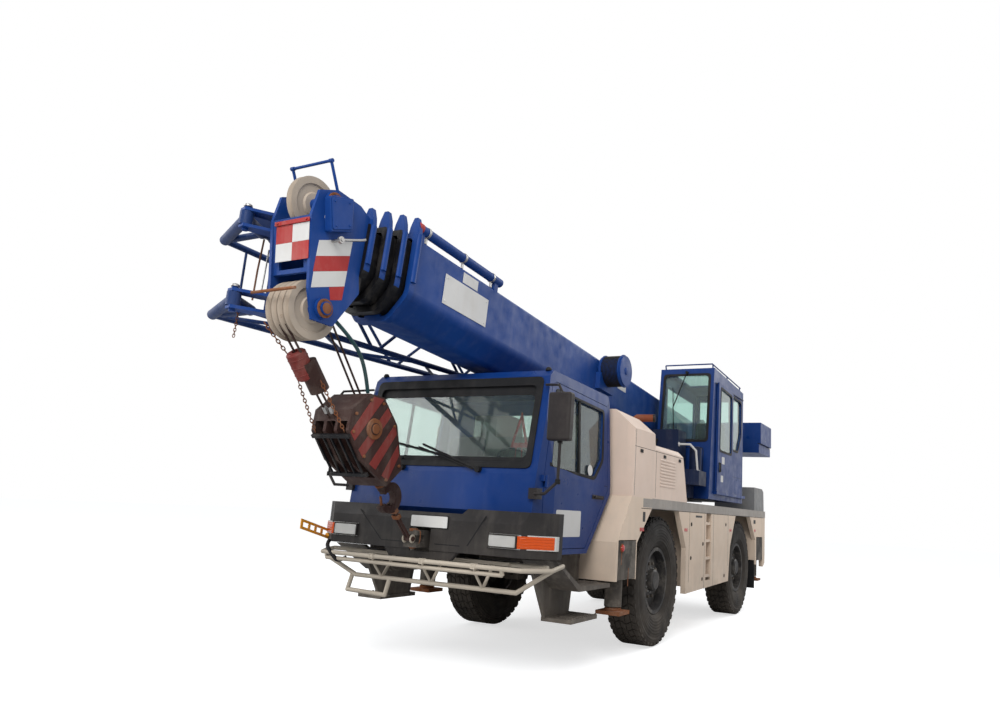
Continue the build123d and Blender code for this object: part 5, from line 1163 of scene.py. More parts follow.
# %% Sleeves and shackle rings of the strop
STROP_END = at(0, -2.845, 1.075)
bm = bmesh.new()
for down in (1.80, 1.86):
    sleeve = [on_hook(x, y, down) for x, y in rectangle(-0.036, 0.036, -0.012, 0.030)]
    slab(bm, rounded(sleeve, 0.012), DOWN_HOOK * 0.035)
keep(bm, "strop_sleeves", "rust", "hook_block", 0.003)
bm = bmesh.new()
turned(bm, STROP_END, (1, 0, 0), [(0.021, -0.046), (0.036, -0.042), (0.036, -0.036), (0.021, -0.032)], 20)
turned(bm, STROP_END, (1, 0, 0), [(0.021, 0.032), (0.036, 0.036), (0.036, 0.042), (0.021, 0.046)], 20)
keep(bm, "strop_shackle_rings", "rack_cream", "hook_block", 0.002)
print("strop ends at", STROP_END)

# %% [markdown]
# ## Jib foot and the boom's side
# The stowed jib shows its foot at the head's right side: a light gusset, a bright stay, two thin hanging
# rods and a short chain. The boom's side carries a blank white board, smaller blank labels and a cable
# reel, and a tube with a red cap lies along its top.

# %% Jib foot details, labels, reel and tube cap
GUSSET = ((-8.330, 0.215), (-8.235, 0.370), (-8.060, 0.345), (-8.060, 0.215))
bm = bmesh.new()
slab(bm, [on_boom(-0.478, y, z) for y, z in GUSSET], (0.012, 0, 0))
keep(bm, "jib_gusset_plate", "jib_blue", "jib", 0.002)
for name, r, paint, places in (
    ("bright_stay", 0.013, "steel", ((-0.45, -8.05, 0.440), (-0.46, -8.02, 0.310), (-0.47, -8.00, 0.215))),
    ("hanging_rod_a", 0.007, "rust", ((-0.47, -8.13, 0.20), (-0.475, -8.125, -0.05), (-0.48, -8.11, -0.28))),
    ("hanging_rod_b", 0.006, "steel", ((-0.47, -8.07, 0.14), (-0.475, -8.06, -0.02), (-0.48, -8.05, -0.25))),
):
    pipe("jib_" + name, [on_boom(*place) for place in places], r, paint, "jib")
chain("jib_pin_chain", on_boom(-0.40, -8.26, -0.36), on_boom(-0.39, -8.26, -0.62), 12, "jib")
PIN_HEAD = [(0.001, 0.0), (0.030, 0.0), (0.030, 0.012), (0.018, 0.021), (0.001, 0.021)]
bm = bmesh.new()
for pin_top in (2.7803, 3.3803):
    turned(bm, at(-0.350, -4.560, pin_top), (0, 0, 1), PIN_HEAD, 20)
keep(bm, "jib_pin_heads", "steel", "boom_head", 0.001)

BOOM_SIDE = 0.310
BOARD_SCREW = [(0.0005, 0.0), (0.010, 0.0), (0.007, 0.004), (0.0005, 0.005)]


def on_boom_side(y, z, proud=0.0):
    return on_boom(BOOM_SIDE + proud, y, z)


bm = bmesh.new()
plate(bm, on_boom_side, rectangle(-6.93, -6.27, 0.07, 0.335), (0.003, 0, 0), proud=0.001)
for y, z in ((-6.90, 0.10), (-6.30, 0.10), (-6.90, 0.305), (-6.30, 0.305)):
    turned(bm, on_boom_side(y, z, 0.004), (1, 0, 0), BOARD_SCREW, 12)
keep(bm, "boom_blank_board", "white_paint", "boom_base", 0.001)
bm = bmesh.new()
for label in (rectangle(-6.69, -6.46, 0.350, 0.445), rectangle(-3.20, -2.93, 0.265, 0.365)):
    plate(bm, on_boom_side, label, (0.002, 0, 0), proud=0.001)
keep(bm, "boom_blank_labels", "white_paint", "boom_base", 0.0006)

REEL_SIDE = [(0.045, 0.0), (0.200, 0.0), (0.204, 0.009), (0.200, 0.018), (0.045, 0.018)]
REEL_HUB = [(0.001, 0.0), (0.050, 0.0), (0.046, 0.012), (0.020, 0.018), (0.001, 0.018)]
REEL_BOLT = [(0.001, -0.001), (0.024, -0.001), (0.024, 0.004), (0.001, 0.006)]
CABLE_TURN = [(0.184, -0.007), (0.192, -0.004), (0.192, 0.004), (0.184, 0.007)]
reel = on_boom(BOOM_SIDE, -3.64, 0.36)
bm = bmesh.new()
for x in (0.020, 0.262):
    turned(bm, reel + Vector((x, 0, 0)), (1, 0, 0), REEL_SIDE, 48)
for k in range(8):
    a = k * pi / 4
    spot = reel + Vector((0.282, 0, 0)) + ALONG * (0.13 * cos(a)) + SQUARE * (0.13 * sin(a))
    turned(bm, spot, (1, 0, 0), REEL_BOLT, 16)
turned(bm, reel + Vector((0.296, 0, 0)), (1, 0, 0), REEL_HUB, 24)
keep(bm, "cable_reel", "boom_blue", "boom_base", 0.002)
bm = bmesh.new()
for k in range(12):
    turned(bm, reel + Vector((0.050 + k * 0.0175, 0, 0)), (1, 0, 0), CABLE_TURN, 40)
keep(bm, "cable_on_reel", "rubber", "boom_base")

TUBE_X, TUBE_Z = 0.290, 0.575
TUBE_CAP = [(0.001, 0.012), (0.030, 0.012), (0.046, 0.004), (0.046, -0.045), (0.0425, -0.045),
            (0.0425, -0.002), (0.001, -0.002)]
TUBE_STRAP = [(0.0425, -0.012), (0.048, -0.010), (0.048, 0.010), (0.0425, 0.012)]
bm = bmesh.new()
turned(bm, on_boom(TUBE_X, -7.345, TUBE_Z), ALONG, TUBE_CAP, 28)
keep(bm, "tube_red_cap", "red_paint", "boom_base", 0.001)
bm = bmesh.new()
for y in (-7.22, -6.70, -6.24):
    turned(bm, on_boom(TUBE_X, y, TUBE_Z), ALONG, TUBE_STRAP, 28)
    foot = rectangle(TUBE_X - 0.008, TUBE_X + 0.008, 0.478, 0.535)
    slab(bm, [on_boom(x, y - 0.012, z) for x, z in foot], ALONG * -0.024)
keep(bm, "tube_straps", "steel", "boom_base", 0.0015)
print("boom labels and reel done")

# %% [markdown]
# ## Carrier sides
# The sides are large smooth covers. Their joints, finger slots, small red reflectors and screwed latches
# give the scale. The wheel covers hold a red side lamp with a rust trail under it, and a blank strip runs
# along the deck's edge. Each is a thin piece a millimetre or two proud of the cover.

# %% Cover joints, slots, reflectors, latches, side lamps and rust trails
SIDE_X = 1.25
JOINT_TOP, DECK_LINE = 1.44, 1.457
COVER_JOINTS = ((-0.445, 1.28), (0.860, 0.62), (1.490, 0.50), (1.900, 0.50), (2.640, 0.74), (4.02, 1.20))
FINGER_SLOTS = (
    rectangle(-0.70, -0.63, 1.31, 1.41), rectangle(1.10, 1.37, 1.385, 1.41),
    rectangle(4.20, 4.34, 1.34, 1.40),
)
LATCHES = ((1.420, 1.06), (1.410, 0.63), (2.510, 1.31), (2.450, 0.62), (0.930, 1.30), (0.930, 0.90))
LATCH = [(0.0005, 0.003), (0.012, 0.003), (0.013, 0.006), (0.022, 0.006), (0.024, 0.0), (0.0005, -0.001)]
SIDE_LAMP = [(0.0005, 0.024), (0.028, 0.020), (0.034, 0.010), (0.034, -0.001), (0.0005, -0.001)]
RUST_TRAILS = (
    [(-1.223, 0.90), (-1.207, 0.90), (-1.205, 1.015), (-1.225, 1.015)],
    [(-1.045, 0.70), (-1.030, 0.69), (-1.022, 0.86), (-1.040, 0.87)],
)
for side, word in BOTH_SIDES:
    out = (side, 0, 0)

    def on_cover(y, z, proud=0.0):
        return at(side * (SIDE_X - 0.0005 + proud), y, z)

    bm = bmesh.new()
    for y, bottom in COVER_JOINTS:
        plate(bm, on_cover, rectangle(y - 0.003, y + 0.003, bottom, JOINT_TOP), (side * 0.0012, 0, 0))
    plate(bm, on_cover, rectangle(-0.75, 4.95, 1.442, 1.449), (side * 0.0012, 0, 0))
    keep(bm, "cover_joints_" + word, "rubber", "body_panels")
    # Each finger slot is a flat black patch on the cover: painted shade standing in for the recess.
    bm = bmesh.new()
    for slot in FINGER_SLOTS:
        plate(bm, on_cover, slot, (side * 0.0016, 0, 0), 0.010)
    keep(bm, "finger_slot_shades_" + word, "grease_and_shade_black", "body_panels")
    bm = bmesh.new()
    for y in (-0.72, 0.72, 2.77, 4.30):
        plate(bm, on_cover, rectangle(y - 0.050, y + 0.050, 1.215, 1.250), (side * 0.006, 0, 0), 0.006)
        for k in range(5):
            facet = on_cover(y - 0.036 + k * 0.018, 1.2325, 0.0055)
            turned(bm, facet, out, [(0.0005, 0.002), (0.006, 0.0), (0.0005, -0.001)], 6)
    keep(bm, "side_reflectors_" + word, "reflector_red", "body_panels", 0.001)
    bm = bmesh.new()
    for y, z in LATCHES:
        turned(bm, on_cover(y, z), out, LATCH, 20)
        slot = rectangle(y - 0.010, y + 0.010, z - 0.002, z + 0.002)
        plate(bm, on_cover, slot, (side * 0.003, 0, 0), proud=0.003)
    keep(bm, "cover_latches_" + word, "axle_iron", "body_panels")
    bm = bmesh.new()
    plate(bm, on_cover, rectangle(-0.70, 4.90, DECK_LINE, DECK_LINE + 0.090), (side * 0.0012, 0, 0))
    for k in range(22):
        rivet = on_cover(-0.60 + k * 0.25, DECK_LINE + 0.045, 0.001)
        turned(bm, rivet, out, [(0.0005, 0.003), (0.007, 0.002), (0.009, -0.001), (0.0005, -0.001)], 10)
    keep(bm, "deck_edge_strip_" + word, "deck_grey", "deck")
    bm = bmesh.new()
    turned(bm, on_cover(-1.215, 1.055), out, SIDE_LAMP, 24)
    keep(bm, "side_lamp_" + word, "reflector_red", "body_panels")
    bm = bmesh.new()
    turned(bm, on_cover(-1.215, 1.055), out,
           [(0.0345, -0.001), (0.0345, 0.010), (0.040, 0.010), (0.043, -0.001)], 24)
    for trail in RUST_TRAILS:
        plate(bm, on_cover, trail, (side * 0.001, 0, 0))
    keep(bm, "lamp_ring_and_trail_" + word, "rust", "body_panels")
print("sides dressed")

# %% [markdown]
# ## Engine cowling and exhaust
# The cream cowling behind the cab is folded sheet with lift-off covers. Thin dark joints follow its folds.
# Louvres in each side let cooling air in, and small pulls sit along the upper edge. The exhaust beside it
# ends in a black tip and is held by two clamps.

# %% Cowling joints, louvres and pulls
for side, word in BOTH_SIDES:
    def on_cowling(y, z, proud=0.0):
        return at(side * (1.2495 + proud), y, z)

    bm = bmesh.new()
    for y, top in ((-0.96, 2.235), (-0.36, 2.07)):
        plate(bm, on_cowling, rectangle(y - 0.003, y + 0.003, 1.57, top), (side * 0.0012, 0, 0))
    plate(bm, on_cowling, rectangle(-0.98, 0.55, 2.060, 2.065), (side * 0.0012, 0, 0))
    keep(bm, "cowling_joints_" + word, "axle_iron", "engine_cowling")
    bm = bmesh.new()
    for k in range(9):
        z = 1.70 + k * 0.035
        plate(bm, on_cowling, rectangle(-0.22, 0.28, z, z + 0.016), (side * 0.007, 0, -0.004), 0.006)
    keep(bm, "cowling_louvres_" + word, "cream_paint", "engine_cowling", 0.001)
    bm = bmesh.new()
    for y in (-0.80, -0.10, 0.42):
        plate(bm, on_cowling, rectangle(y - 0.035, y + 0.035, 2.010, 2.045), (side * 0.009, 0, 0), 0.008)
    keep(bm, "cowling_pulls_" + word, "rubber", "engine_cowling", 0.002)
EXHAUST_TIP = [(0.030, -0.015), (0.0435, -0.015), (0.0455, 0.010), (0.036, 0.012), (0.030, 0.004)]
EXHAUST_CLAMP = [(0.0425, -0.012), (0.050, -0.010), (0.050, 0.010), (0.0425, 0.012)]
bm = bmesh.new()
turned(bm, at(1.140, -0.182, 2.455), (0.937, 0.345, 0.03), EXHAUST_TIP, 28)
keep(bm, "exhaust_black_tip", "grease_and_shade_black", "exhaust")
bm = bmesh.new()
for z in (2.215, 2.315):
    turned(bm, at(0.90, -0.25, z), (0, 0, 1), EXHAUST_CLAMP, 24)
keep(bm, "exhaust_clamps", "steel", "exhaust", 0.001)
print("cowling dressed")

# %% [markdown]
# ## Steps, rear lamps and mud flaps
# The cab's steps are punched plate, and the low one has a toothed outer edge. At the back, each corner has
# a row of round lamps in a housing, and a rubber mud flap hangs behind the wheels.

# %% Step plates, rear lamps and flaps
STEP_DIMPLE = [(0.012, 0.0), (0.015, 0.004), (0.020, 0.004), (0.024, 0.0)]
REAR_LAMP = [(0.0005, 0.010), (0.030, 0.009), (0.048, 0.004), (0.050, -0.001), (0.0005, -0.001)]
FLAP_BOLT = [(0.0005, 0.007), (0.009, 0.006), (0.012, 0.0), (0.0005, -0.001)]
# node's word, rows and dimples in a row, first place, spacing across and along, height
STEP_GRIPS = (("low", 3, 7, 0.93, -2.03, 0.095, 0.070, 0.4755),
              ("top", 2, 8, 0.97, -1.93, 0.11, 0.072, 0.7405))
FLAP_Y = 4.335
lamp_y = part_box("rear_lockers")[1][1] - AXLE_Y
for side, word in BOTH_SIDES:
    for level, rows, count, x0, y0, across_by, along_by, z in STEP_GRIPS:
        bm = bmesh.new()
        for row in range(rows):
            for k in range(count):
                turned(bm, at(side * (x0 + row * across_by), y0 + k * along_by, z), (0, 0, 1),
                       STEP_DIMPLE, 10)
        if level == "low":
            for k in range(12):
                y = -2.055 + k * 0.042
                tooth = rectangle(side * 1.168, side * 1.178, y, y + 0.021)
                slab(bm, [at(a, b, 0.475) for a, b in tooth], (0, 0, 0.010))
        keep(bm, "%s_step_grip_%s" % (level, word), "step_steel", "cab_steps")

    def on_lamp_box(x, z):
        return at(side * x, lamp_y - 0.0005, z)

    bm = bmesh.new()
    band(bm, [on_lamp_box(x, z) for x, z in rectangle(0.762, 1.178, 1.182, 1.328)],
         [on_lamp_box(x, z) for x, z in rectangle(0.778, 1.162, 1.196, 1.314)], (0, 0.006, 0))
    keep(bm, "rear_lamp_rim_" + word, "rubber", "rear_lockers", 0.002)
    for name, x, paint in (("stop", 0.845, "reflector_red"), ("turn", 0.970, "lamp_amber"),
                           ("back", 1.095, "lamp_clear")):
        bm = bmesh.new()
        turned(bm, at(side * x, lamp_y, 1.255), (0, 1, 0), REAR_LAMP, 28)
        keep(bm, "rear_%s_lamp_%s" % (name, word), paint, "rear_lockers")
for side, word in BOTH_SIDES:
    def on_flap(x, z, proud=0.0):
        return at(x, FLAP_Y + proud, z)

    bm = bmesh.new()
    slab(bm, [on_flap(side * x, z, -0.0015) for x, z in rectangle(0.838, 1.232, 0.328, 0.765)], (0, 0.015, 0))
    for x in (0.90, 1.035, 1.17):
        turned(bm, on_flap(side * x, 0.735, 0.013), (0, 1, 0), FLAP_BOLT, 12)
    for x in (0.88, 0.96, 1.04, 1.12, 1.20):
        rib = rectangle(side * x - 0.006, side * x + 0.006, 0.36, 0.66)
        plate(bm, on_flap, rib, (0, 0.004, 0), proud=0.013)
    keep(bm, "mud_flap_" + word, "rubber", "body_panels", 0.001)
print("rear at", round(lamp_y, 3))

# %% [markdown]
# ## The crane operator's cab
# This cab is narrow and tall, with glass in a painted frame. Black rubber holds each pane, and the corners
# are round. A sliding door covers the middle of its side, with a dark pull and blank labels, between two
# rails. Screws hold an access cover below the rear window. The white rail over the step in front gets a
# foot at each end.

# %% Rubbers, labels, pull, cover, wiper and rail feet
SLEW_AT = 2.5
SLIDE_WINDOW = [(-0.310, 2.330), (-0.280, 3.220), (0.310, 3.190), (0.310, 2.330)]
SIDE_WINDOW = [(0.510, 2.420), (0.510, 3.230), (1.020, 3.210), (1.020, 2.700), (0.830, 2.420)]
SCREEN, BELOW_SCREEN = rectangle(0.470, 1.130, 2.440, 3.380), rectangle(0.500, 1.100, 1.900, 2.340)
ACCESS_COVER = rectangle(0.460, 1.080, 1.700, 2.020)
DOOR_PROUD = 0.038
SCREW = [(0.0005, 0.004), (0.007, 0.003), (0.009, 0.0), (0.0005, -0.001)]


def on_operator(y, z, proud=0.0):
    """A place on the cab's outer side, with Y counted from the slewing axis."""
    return at(1.200 + proud, SLEW_AT + y, z)


def operator_front(x, z, proud=0.0):
    """A place on the cab's sloped front."""
    return at(x, SLEW_AT - 0.700 + (z - 1.640) * 0.190 / 1.840 - proud, z)


def around(points, by):
    """A rectangle of pairs with each edge moved outwards by the given length."""
    cx = sum(p[0] for p in points) / len(points)
    cz = sum(p[1] for p in points) / len(points)
    return [(x + by * (1 if x > cx else -1), z + by * (1 if z > cz else -1)) for x, z in points]


def surround(bm, place, outer, inner, r_outer, r_inner, thick, *proud):
    """A band between two outlines on a surface, each with its corners rounded."""
    band(bm, rounded([place(a, b, *proud) for a, b in outer], r_outer),
         rounded([place(a, b, *proud) for a, b in inner], r_inner), thick)


bm = bmesh.new()
surround(bm, on_operator, swell(SLIDE_WINDOW, 0.030), swell(SLIDE_WINDOW, -0.010), 0.05, 0.05, (0.005, 0, 0),
         DOOR_PROUD)
keep(bm, "operator_door_rubber", "rubber", "operator_door", 0.002)
bm = bmesh.new()
surround(bm, on_operator, swell(SIDE_WINDOW, 0.028), swell(SIDE_WINDOW, -0.010), 0.05, 0.05, (0.005, 0, 0))
keep(bm, "operator_window_rubber", "rubber", "operator_cab", 0.002)
bm = bmesh.new()
surround(bm, operator_front, around(SCREEN, 0.026), around(SCREEN, -0.012), 0.06, 0.05, (0, -0.006, 0))
keep(bm, "operator_screen_rubber", "rubber", "operator_cab", 0.002)
# A dark blue band round the edge of the panel under the screen is painted shade of the crease.
bm = bmesh.new()
surround(bm, operator_front, BELOW_SCREEN, around(BELOW_SCREEN, -0.012), 0.05, 0.045, (0, -0.003, 0))
keep(bm, "operator_front_crease_painted_shade", "dark_blue", "operator_cab")
bm = bmesh.new()
bar(bm, operator_front(0.80, 3.42, 0.02), operator_front(0.62, 2.90, 0.022), 0.008, 8)
bar(bm, operator_front(0.60, 3.20, 0.014), operator_front(0.65, 2.55, 0.014), 0.007, 6)
bar(bm, operator_front(0.80, 3.42, -0.01), operator_front(0.80, 3.42, 0.035), 0.020, 16)
keep(bm, "operator_wiper", "rubber", "operator_cab")
bm = bmesh.new()
plate(bm, on_operator, rectangle(-0.355, -0.300, 2.020, 2.160), (0.006, 0, 0), 0.012, DOOR_PROUD)
bar(bm, on_operator(-0.328, 2.035, 0.060), on_operator(-0.328, 2.145, 0.060), 0.008, 10)
for z in (2.035, 2.145):
    bar(bm, on_operator(-0.328, z, 0.040), on_operator(-0.328, z, 0.062), 0.008, 8)
keep(bm, "operator_door_pull", "rubber", "operator_door", 0.001)
bm = bmesh.new()
for label in (rectangle(-0.200, -0.060, 2.150, 2.250), rectangle(-0.245, -0.125, 1.895, 1.985)):
    plate(bm, on_operator, label, (0.0012, 0, 0), proud=DOOR_PROUD)
keep(bm, "operator_blank_labels", "white_paint", "operator_door")
bm = bmesh.new()
surround(bm, on_operator, ACCESS_COVER, around(ACCESS_COVER, -0.005), 0.03, 0.027, (0.0015, 0, 0))
for y, z in rectangle(0.50, 1.04, 1.74, 1.98) + [(0.77, 1.74), (0.77, 1.98)]:
    turned(bm, on_operator(y, z), (1, 0, 0), SCREW, 10)
keep(bm, "operator_access_cover", "dark_blue", "operator_cab")
bm = bmesh.new()
for z in (1.725, 3.262):
    plate(bm, on_operator, rectangle(-0.46, 1.120, z, z + 0.012), (0.010, 0, 0), proud=0.006)
keep(bm, "operator_door_rails", "dark_blue", "operator_cab", 0.002)
bm = bmesh.new()
for place, axis in ((at(0.905, 1.40, 2.33), (1, 0, 0)), (at(1.131, 1.512, 1.998), (0, 0, 1))):
    turned(bm, place, axis, [(0.0145, -0.006), (0.030, -0.006), (0.030, 0.002), (0.0145, 0.004)], 20)
keep(bm, "rail_feet", "white_paint", "handrail")
print("operator's cab dressed")

# %% [markdown]
# ## Counterweight, winch drum and small work on the turntable
# The counterweight is a cast block over a slab. The seam between the two shows, and caps cover its lifting
# points. The winch drum carries tight turns of rope, laid side by side. The hydraulic boxes beside the
# operator's cab have lids with bolts, and three hoses run down from them.

# %% Rope on the drum, lifting eyes, seam, box lids and hoses
ROPE_TURN = [(0.1505, -0.008), (0.160, -0.0055), (0.166, 0.0), (0.160, 0.0055), (0.1505, 0.008)]
ROPE_TURNS, ROPE_PITCH = 28, 0.0162
drum = at(0, 4.56, 2.86)
bm = bmesh.new()
for k in range(ROPE_TURNS):
    turned(bm, drum + Vector((-0.219 + k * ROPE_PITCH, 0, 0)), (1, 0, 0), ROPE_TURN, 40)
keep(bm, "rope_on_drum", "rope_steel", "winch")
SEAM_Z, CAP_HALF = 2.698, 0.07
weight_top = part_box("counterweight")[1][2]
bm = bmesh.new()
for middle in (-0.80, 0.80):
    cap = [Vector((middle, at(0, 5.1, 0).y, weight_top - 0.001)) + Vector((x, y, 0))
           for x, y in rectangle(-CAP_HALF, CAP_HALF, -CAP_HALF, CAP_HALF)]
    slab(bm, rounded(cap, 0.02), (0, 0, 0.006))
keep(bm, "counterweight_caps", "dark_blue", "counterweight", 0.002)
bm = bmesh.new()
band(bm, [at(x, y, SEAM_Z) for x, y in rectangle(-1.226, 1.226, 4.712, 5.575)],
     [at(x, y, SEAM_Z) for x, y in rectangle(-1.190, 1.190, 4.74, 5.555)], (0, 0, 0.006))
keep(bm, "counterweight_seam", "grease_and_shade_black", "counterweight")
LID_BOLT = [(0.0005, 0.006), (0.008, 0.005), (0.010, 0.0), (0.0005, -0.001)]
FILLER_CAP = [(0.0005, 0.020), (0.050, 0.018), (0.062, 0.010), (0.062, -0.0), (0.0005, -0.0)]
bm = bmesh.new()
for x0, x1, y0, y1, z in ((0.425, 0.875, 1.395, 1.675, 2.5195), (0.92, 1.13, 1.36, 1.55, 1.9895)):
    slab(bm, rounded([at(x, y, z) for x, y in rectangle(x0, x1, y0, y1)], 0.02), (0, 0, 0.010))
    for x, y in rectangle(x0 + 0.03, x1 - 0.03, y0 + 0.03, y1 - 0.03):
        turned(bm, at(x, y, z + 0.009), (0, 0, 1), LID_BOLT, 6)
turned(bm, at(1.07, 1.60, 2.299), (0, 0, 1), FILLER_CAP, 24)
keep(bm, "tank_lids", "dark_blue", "turntable", 0.002)
for k in range(3):
    route = [at(0.46 + k * 0.07, 1.395, 2.40), at(0.46 + k * 0.07, 1.33, 2.38),
             at(0.44 + k * 0.06, 1.30, 2.10), at(0.42 + k * 0.05, 1.36, 1.86)]
    pipe("turntable_hose_%d" % (k + 1), route, 0.015, "rubber", "turntable", True, 5)
print("upper works dressed")

# %% [markdown]
# ## Seats
# A seat cushion is foam under cloth: full in the middle, drawn in along its seams, and flat where it rests
# on its pan. Each cushion starts as a fine grid on a box. The grid's points are pushed out by a crown that
# is highest in the middle of each face, pinched along two sewn channels, and rounded where edges meet.

# %% Cushions of the seats in both cabs
CHANNELS = (-0.62, 0.62)
PINCH, ROUND_BY = 0.012, 0.045
GRID = (22, 18, 6)


def hump(value):
    """1 at nought, falling away on both sides."""
    return 2.718281828 ** (-value * value)


def cushion_place(u, v, t, size, crown):
    """Where a point of the grid goes: u, v and t run from -1 to 1 over the width, depth and height."""
    halves = [length / 2 for length in size]
    radii = (ROUND_BY, ROUND_BY, ROUND_BY * 0.8)
    spot = [share * half for share, half in zip((u, v, t), halves)]
    past = [max(0.0, abs(value) - (half - r)) / r for value, half, r in zip(spot, halves, radii)]
    length = max(1.0, (past[0] ** 2 + past[1] ** 2 + past[2] ** 2) ** 0.5)
    for i in range(3):
        if past[i]:
            spot[i] = (1 if spot[i] > 0 else -1) * (halves[i] - radii[i] + radii[i] * past[i] / length)
    x, y, z = spot
    inside = abs(u) < 1 and abs(v) < 1
    if t > 0:
        if inside:
            z += crown * (1 - u * u) ** 0.5 * (1 - v * v) ** 0.5 * t
        for channel in CHANNELS:
            z -= PINCH * hump((u - channel) / 0.045) * t
        if abs(u) < 0.62:
            z -= PINCH * 0.8 * hump((v - 0.15) / 0.05) * t
    if abs(u) > 0.98:
        x += 0.010 * (1 - v * v) * (1 - t * t) * (1 if u > 0 else -1)
    if abs(u) > 0.98 or abs(v) > 0.98:
        seam = 1 - 0.012 * hump((t - 0.35) / 0.12)
        x, y = x * seam, y * seam
    return Vector((x, y, z))


def cushion(name, node, centre, size, lean, crown):
    """A crowned pad: size is width, depth and height, leaned back about X by an angle in degrees."""
    bm = bmesh.new()
    grid = {}
    turn = Matrix.Rotation(radians(lean), 3, "X")

    def point(*key):
        if key not in grid:
            u, v, t = (2 * step / steps - 1 for step, steps in zip(key, GRID))
            grid[key] = bm.verts.new(centre + turn @ cushion_place(u, v, t, size, crown))
        return grid[key]

    for i in range(GRID[0]):
        for j in range(GRID[1]):
            for k in (0, GRID[2]):
                bm.faces.new([point(a, b, k) for a, b in rectangle(i, i + 1, j, j + 1)])
    for i in range(GRID[0]):
        for k in range(GRID[2]):
            for j in (0, GRID[1]):
                bm.faces.new([point(a, j, b) for a, b in rectangle(i, i + 1, k, k + 1)])
    for j in range(GRID[1]):
        for k in range(GRID[2]):
            for i in (0, GRID[0]):
                bm.faces.new([point(i, a, b) for a, b in rectangle(j, j + 1, k, k + 1)])
    pad = keep(bm, name, "seat_cloth", node)
    smoother = pad.modifiers.new("smoother", "SUBSURF")
    smoother.levels = smoother.render_levels = 1


def bellows(bm, x, y, z, half_x, half_y, pleats, deep, cut):
    """Stacked pleats under a seat, every second one smaller."""
    for k in range(pleats):
        less = cut if k % 2 else 0.0
        block(bm, at(x - half_x + less, y - half_y + less, z + k * deep),
              at(x + half_x - less, y + half_y - less, z + (k + 1) * deep))


for x, word in ((0.52, "driver"), (-0.52, "passenger")):
    cushion("front_seat_" + word, "cab_interior", at(x, -1.680, 1.398), (0.47, 0.46, 0.125), 4, 0.018)
    cushion("front_backrest_" + word, "cab_interior", at(x, -1.430, 1.795), (0.44, 0.61, 0.095), 79.5, 0.020)
    bm = bmesh.new()
    block(bm, at(x - 0.17, -1.86, 1.041), at(x + 0.17, -1.50, 1.10))
    block(bm, at(x - 0.21, -1.88, 1.285), at(x + 0.21, -1.47, 1.335))
    bellows(bm, x, -1.68, 1.11, 0.15, 0.14, 6, 0.030, 0.012)
    keep(bm, "front_seat_frame_" + word, "rubber", "cab_interior", 0.006)
cushion("operator_seat_cushion", "operator_seat", at(0.80, 2.905, 2.152), (0.47, 0.49, 0.115), 4, 0.018)
cushion("operator_backrest", "operator_seat", at(0.80, 3.152, 2.545), (0.45, 0.61, 0.090), 83, 0.020)
print("cushions done")

# %% [markdown]
# ## Inside the cabs
# The dashboard is one moulded hood across the cab with a raised binnacle of round dials in front of the
# driver, air vents, and the steering wheel on its raked column. A folded red warning triangle leans behind
# the screen. Beside the operator's seat, two consoles carry a short control lever each, with a rubber
# bellows at its foot.

# %% Dashboard, steering wheel, triangle, consoles and levers
# across from, across to, outline in Y and Z
DASHBOARD = (
    (-0.925, 0.925, [(-2.445, 1.420), (-2.435, 1.655), (-2.400, 1.690), (-2.200, 1.640), (-2.140, 1.600),
                     (-2.125, 1.560), (-2.290, 1.410)]),
    (-0.925, 0.925, [(-2.365, 1.045), (-2.365, 1.420), (-2.335, 1.420), (-2.335, 1.045)]),
    (0.30, 0.76, [(-2.36, 1.655), (-2.34, 1.745), (-2.20, 1.725), (-2.165, 1.690), (-2.150, 1.610)]),
    (-0.28, 0.14, [(-2.30, 1.655), (-2.29, 1.690), (-2.18, 1.670), (-2.150, 1.615)]),
)
DIAL_Y, DIAL_Z = -2.155, 1.672
DIAL_HUB = [(0.0005, 0.006), (0.006, 0.005), (0.008, 0.001), (0.0005, 0.0)]
bm = bmesh.new()
for x0, x1, outline in DASHBOARD:
    slab(bm, [at(x0, y, z) for y, z in outline], (x1 - x0, 0, 0))
dashboard = keep(bm, "dashboard", "trim_grey", "cab_interior", 0.012)
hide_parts("cab_interior")
bm = bmesh.new()
face_way = Vector((0, 0.90, 0.44)).normalized()
for x, r in ((0.42, 0.050), (0.53, 0.058), (0.65, 0.050)):
    turned(bm, at(x, DIAL_Y, DIAL_Z), face_way,
           [(r - 0.008, 0.0), (r, 0.0), (r, 0.010), (r - 0.003, 0.012), (r - 0.008, 0.004)], 28)
    turned(bm, at(x, DIAL_Y, DIAL_Z), face_way, DIAL_HUB, 12)
for x in (-0.78, -0.55, 0.02):
    for k in range(4):
        near, up = -2.150 + 0.002 * k, 1.575 + k * 0.011
        slab(bm, [at(x - 0.05, near, up), at(x + 0.05, near, up), at(x + 0.05, near + 0.030, up - 0.006),
                  at(x - 0.05, near + 0.030, up - 0.006)], (0, 0, 0.005))
keep(bm, "dials_and_vents", "rubber", "cab_interior")

WHEEL_HUB = [(0.0005, 0.012), (0.040, 0.008), (0.055, -0.004), (0.048, -0.030), (0.0005, -0.034)]
RIM_R = 0.014
hub_at, wheel_way = at(0.52, -2.010, 1.760), Vector((0, 0.68, 0.73)).normalized()
flat_up = Vector((0, -0.73, 0.68)).normalized()
bm = bmesh.new()
rim_angles = [2 * pi * k / 10 for k in range(10)]
turned(bm, hub_at, wheel_way, [(0.215 + RIM_R * cos(a), RIM_R * sin(a)) for a in rim_angles], 56)
for spoke in (-90, 30, 150):
    out = Vector((cos(radians(spoke)), 0, 0)) + flat_up * sin(radians(spoke))
    bar(bm, hub_at + out * 0.045 - wheel_way * 0.012, hub_at + out * 0.208, 0.011, 10)
turned(bm, hub_at, wheel_way, WHEEL_HUB, 28)
keep(bm, "steering_wheel", "rubber", "cab_interior")
bm = bmesh.new()
bar(bm, hub_at - wheel_way * 0.03, hub_at - wheel_way * 0.33, 0.024, 20)
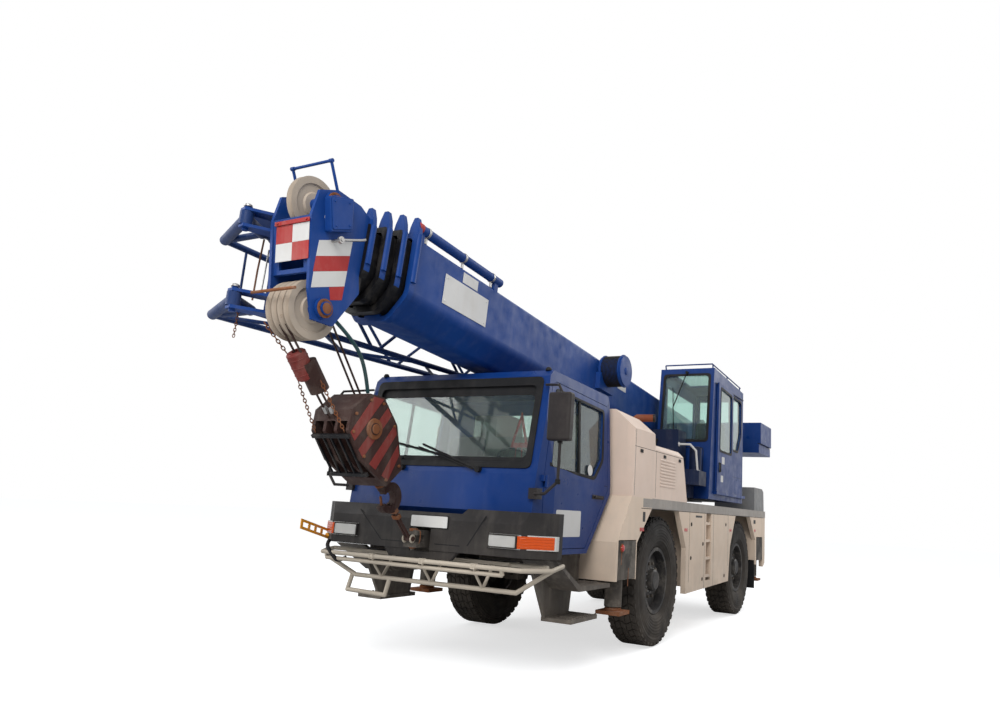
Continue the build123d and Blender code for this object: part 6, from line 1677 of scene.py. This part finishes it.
for k in range(5):
    pleat_at = hub_at - wheel_way * (0.20 + k * 0.022)
    turned(bm, pleat_at, wheel_way, [(0.026, -0.009), (0.042, 0.0), (0.026, 0.009)], 24)
bar(bm, hub_at - wheel_way * 0.08, hub_at - wheel_way * 0.04 + Vector((0.16, 0, 0.02)), 0.007, 8)
keep(bm, "steering_column", "trim_grey", "cab_interior")

TRIANGLE = [(0.545, 1.905), (0.735, 1.905), (0.640, 2.235)]
MIDDLE_X, MIDDLE_Z, OPENING = 0.640, 2.015, 0.62


def triangle_place(x, z, share=1.0):
    """A corner of the leaning warning triangle, drawn towards its middle by a share."""
    return at(x * share + MIDDLE_X * (1 - share), -2.235 + (z - 1.9) * 0.05,
              z * share + MIDDLE_Z * (1 - share))


bm = bmesh.new()
band(bm, rounded([triangle_place(x, z) for x, z in TRIANGLE], 0.02),
     rounded([triangle_place(x, z, OPENING) for x, z in TRIANGLE], 0.012), (0, 0.008, 0))
bar(bm, at(0.60, -2.232, 1.70), at(0.61, -2.230, 1.915), 0.005, 8)
bar(bm, at(0.68, -2.232, 1.70), at(0.67, -2.230, 1.915), 0.005, 8)
keep(bm, "warning_triangle", "red_paint", "cab_interior", 0.001)

SEAT_X, LEVER_Y = 0.80, 2.72
CONSOLE = ((2.615, 1.676), (2.615, 2.330), (2.66, 2.385), (2.86, 2.395), (3.045, 2.340), (3.045, 1.676))
KNOB = [(0.0005, 0.036), (0.014, 0.030), (0.019, 0.010), (0.015, -0.022), (0.0005, -0.028)]
bm = bmesh.new()
for side in (-1, 1):
    x = SEAT_X + side * 0.295
    slab(bm, [at(x - 0.034, y, z) for y, z in CONSOLE], (0.068, 0, 0))
    for k in range(4):
        pleat = [(0.012, -0.006), (0.030 - k * 0.004, 0.0), (0.012, 0.006)]
        turned(bm, at(x, LEVER_Y, 2.392 + k * 0.012), (0, 0, 1), pleat, 20)
    bar(bm, at(x, LEVER_Y, 2.40), at(x, 2.705, 2.530), 0.008, 12)
    turned(bm, at(x, 2.703, 2.555), (0, -0.1, 1), KNOB, 20)
block(bm, at(0.62, 2.72, 1.676), at(0.98, 3.10, 1.74))
block(bm, at(0.60, 2.68, 2.03), at(1.00, 3.14, 2.092))
bellows(bm, SEAT_X, 2.91, 1.745, 0.15, 0.15, 8, 0.035, 0.015)
consoles = keep(bm, "operator_consoles", "trim_grey", "operator_seat", 0.006)
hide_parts("operator_seat")
print("interiors done")
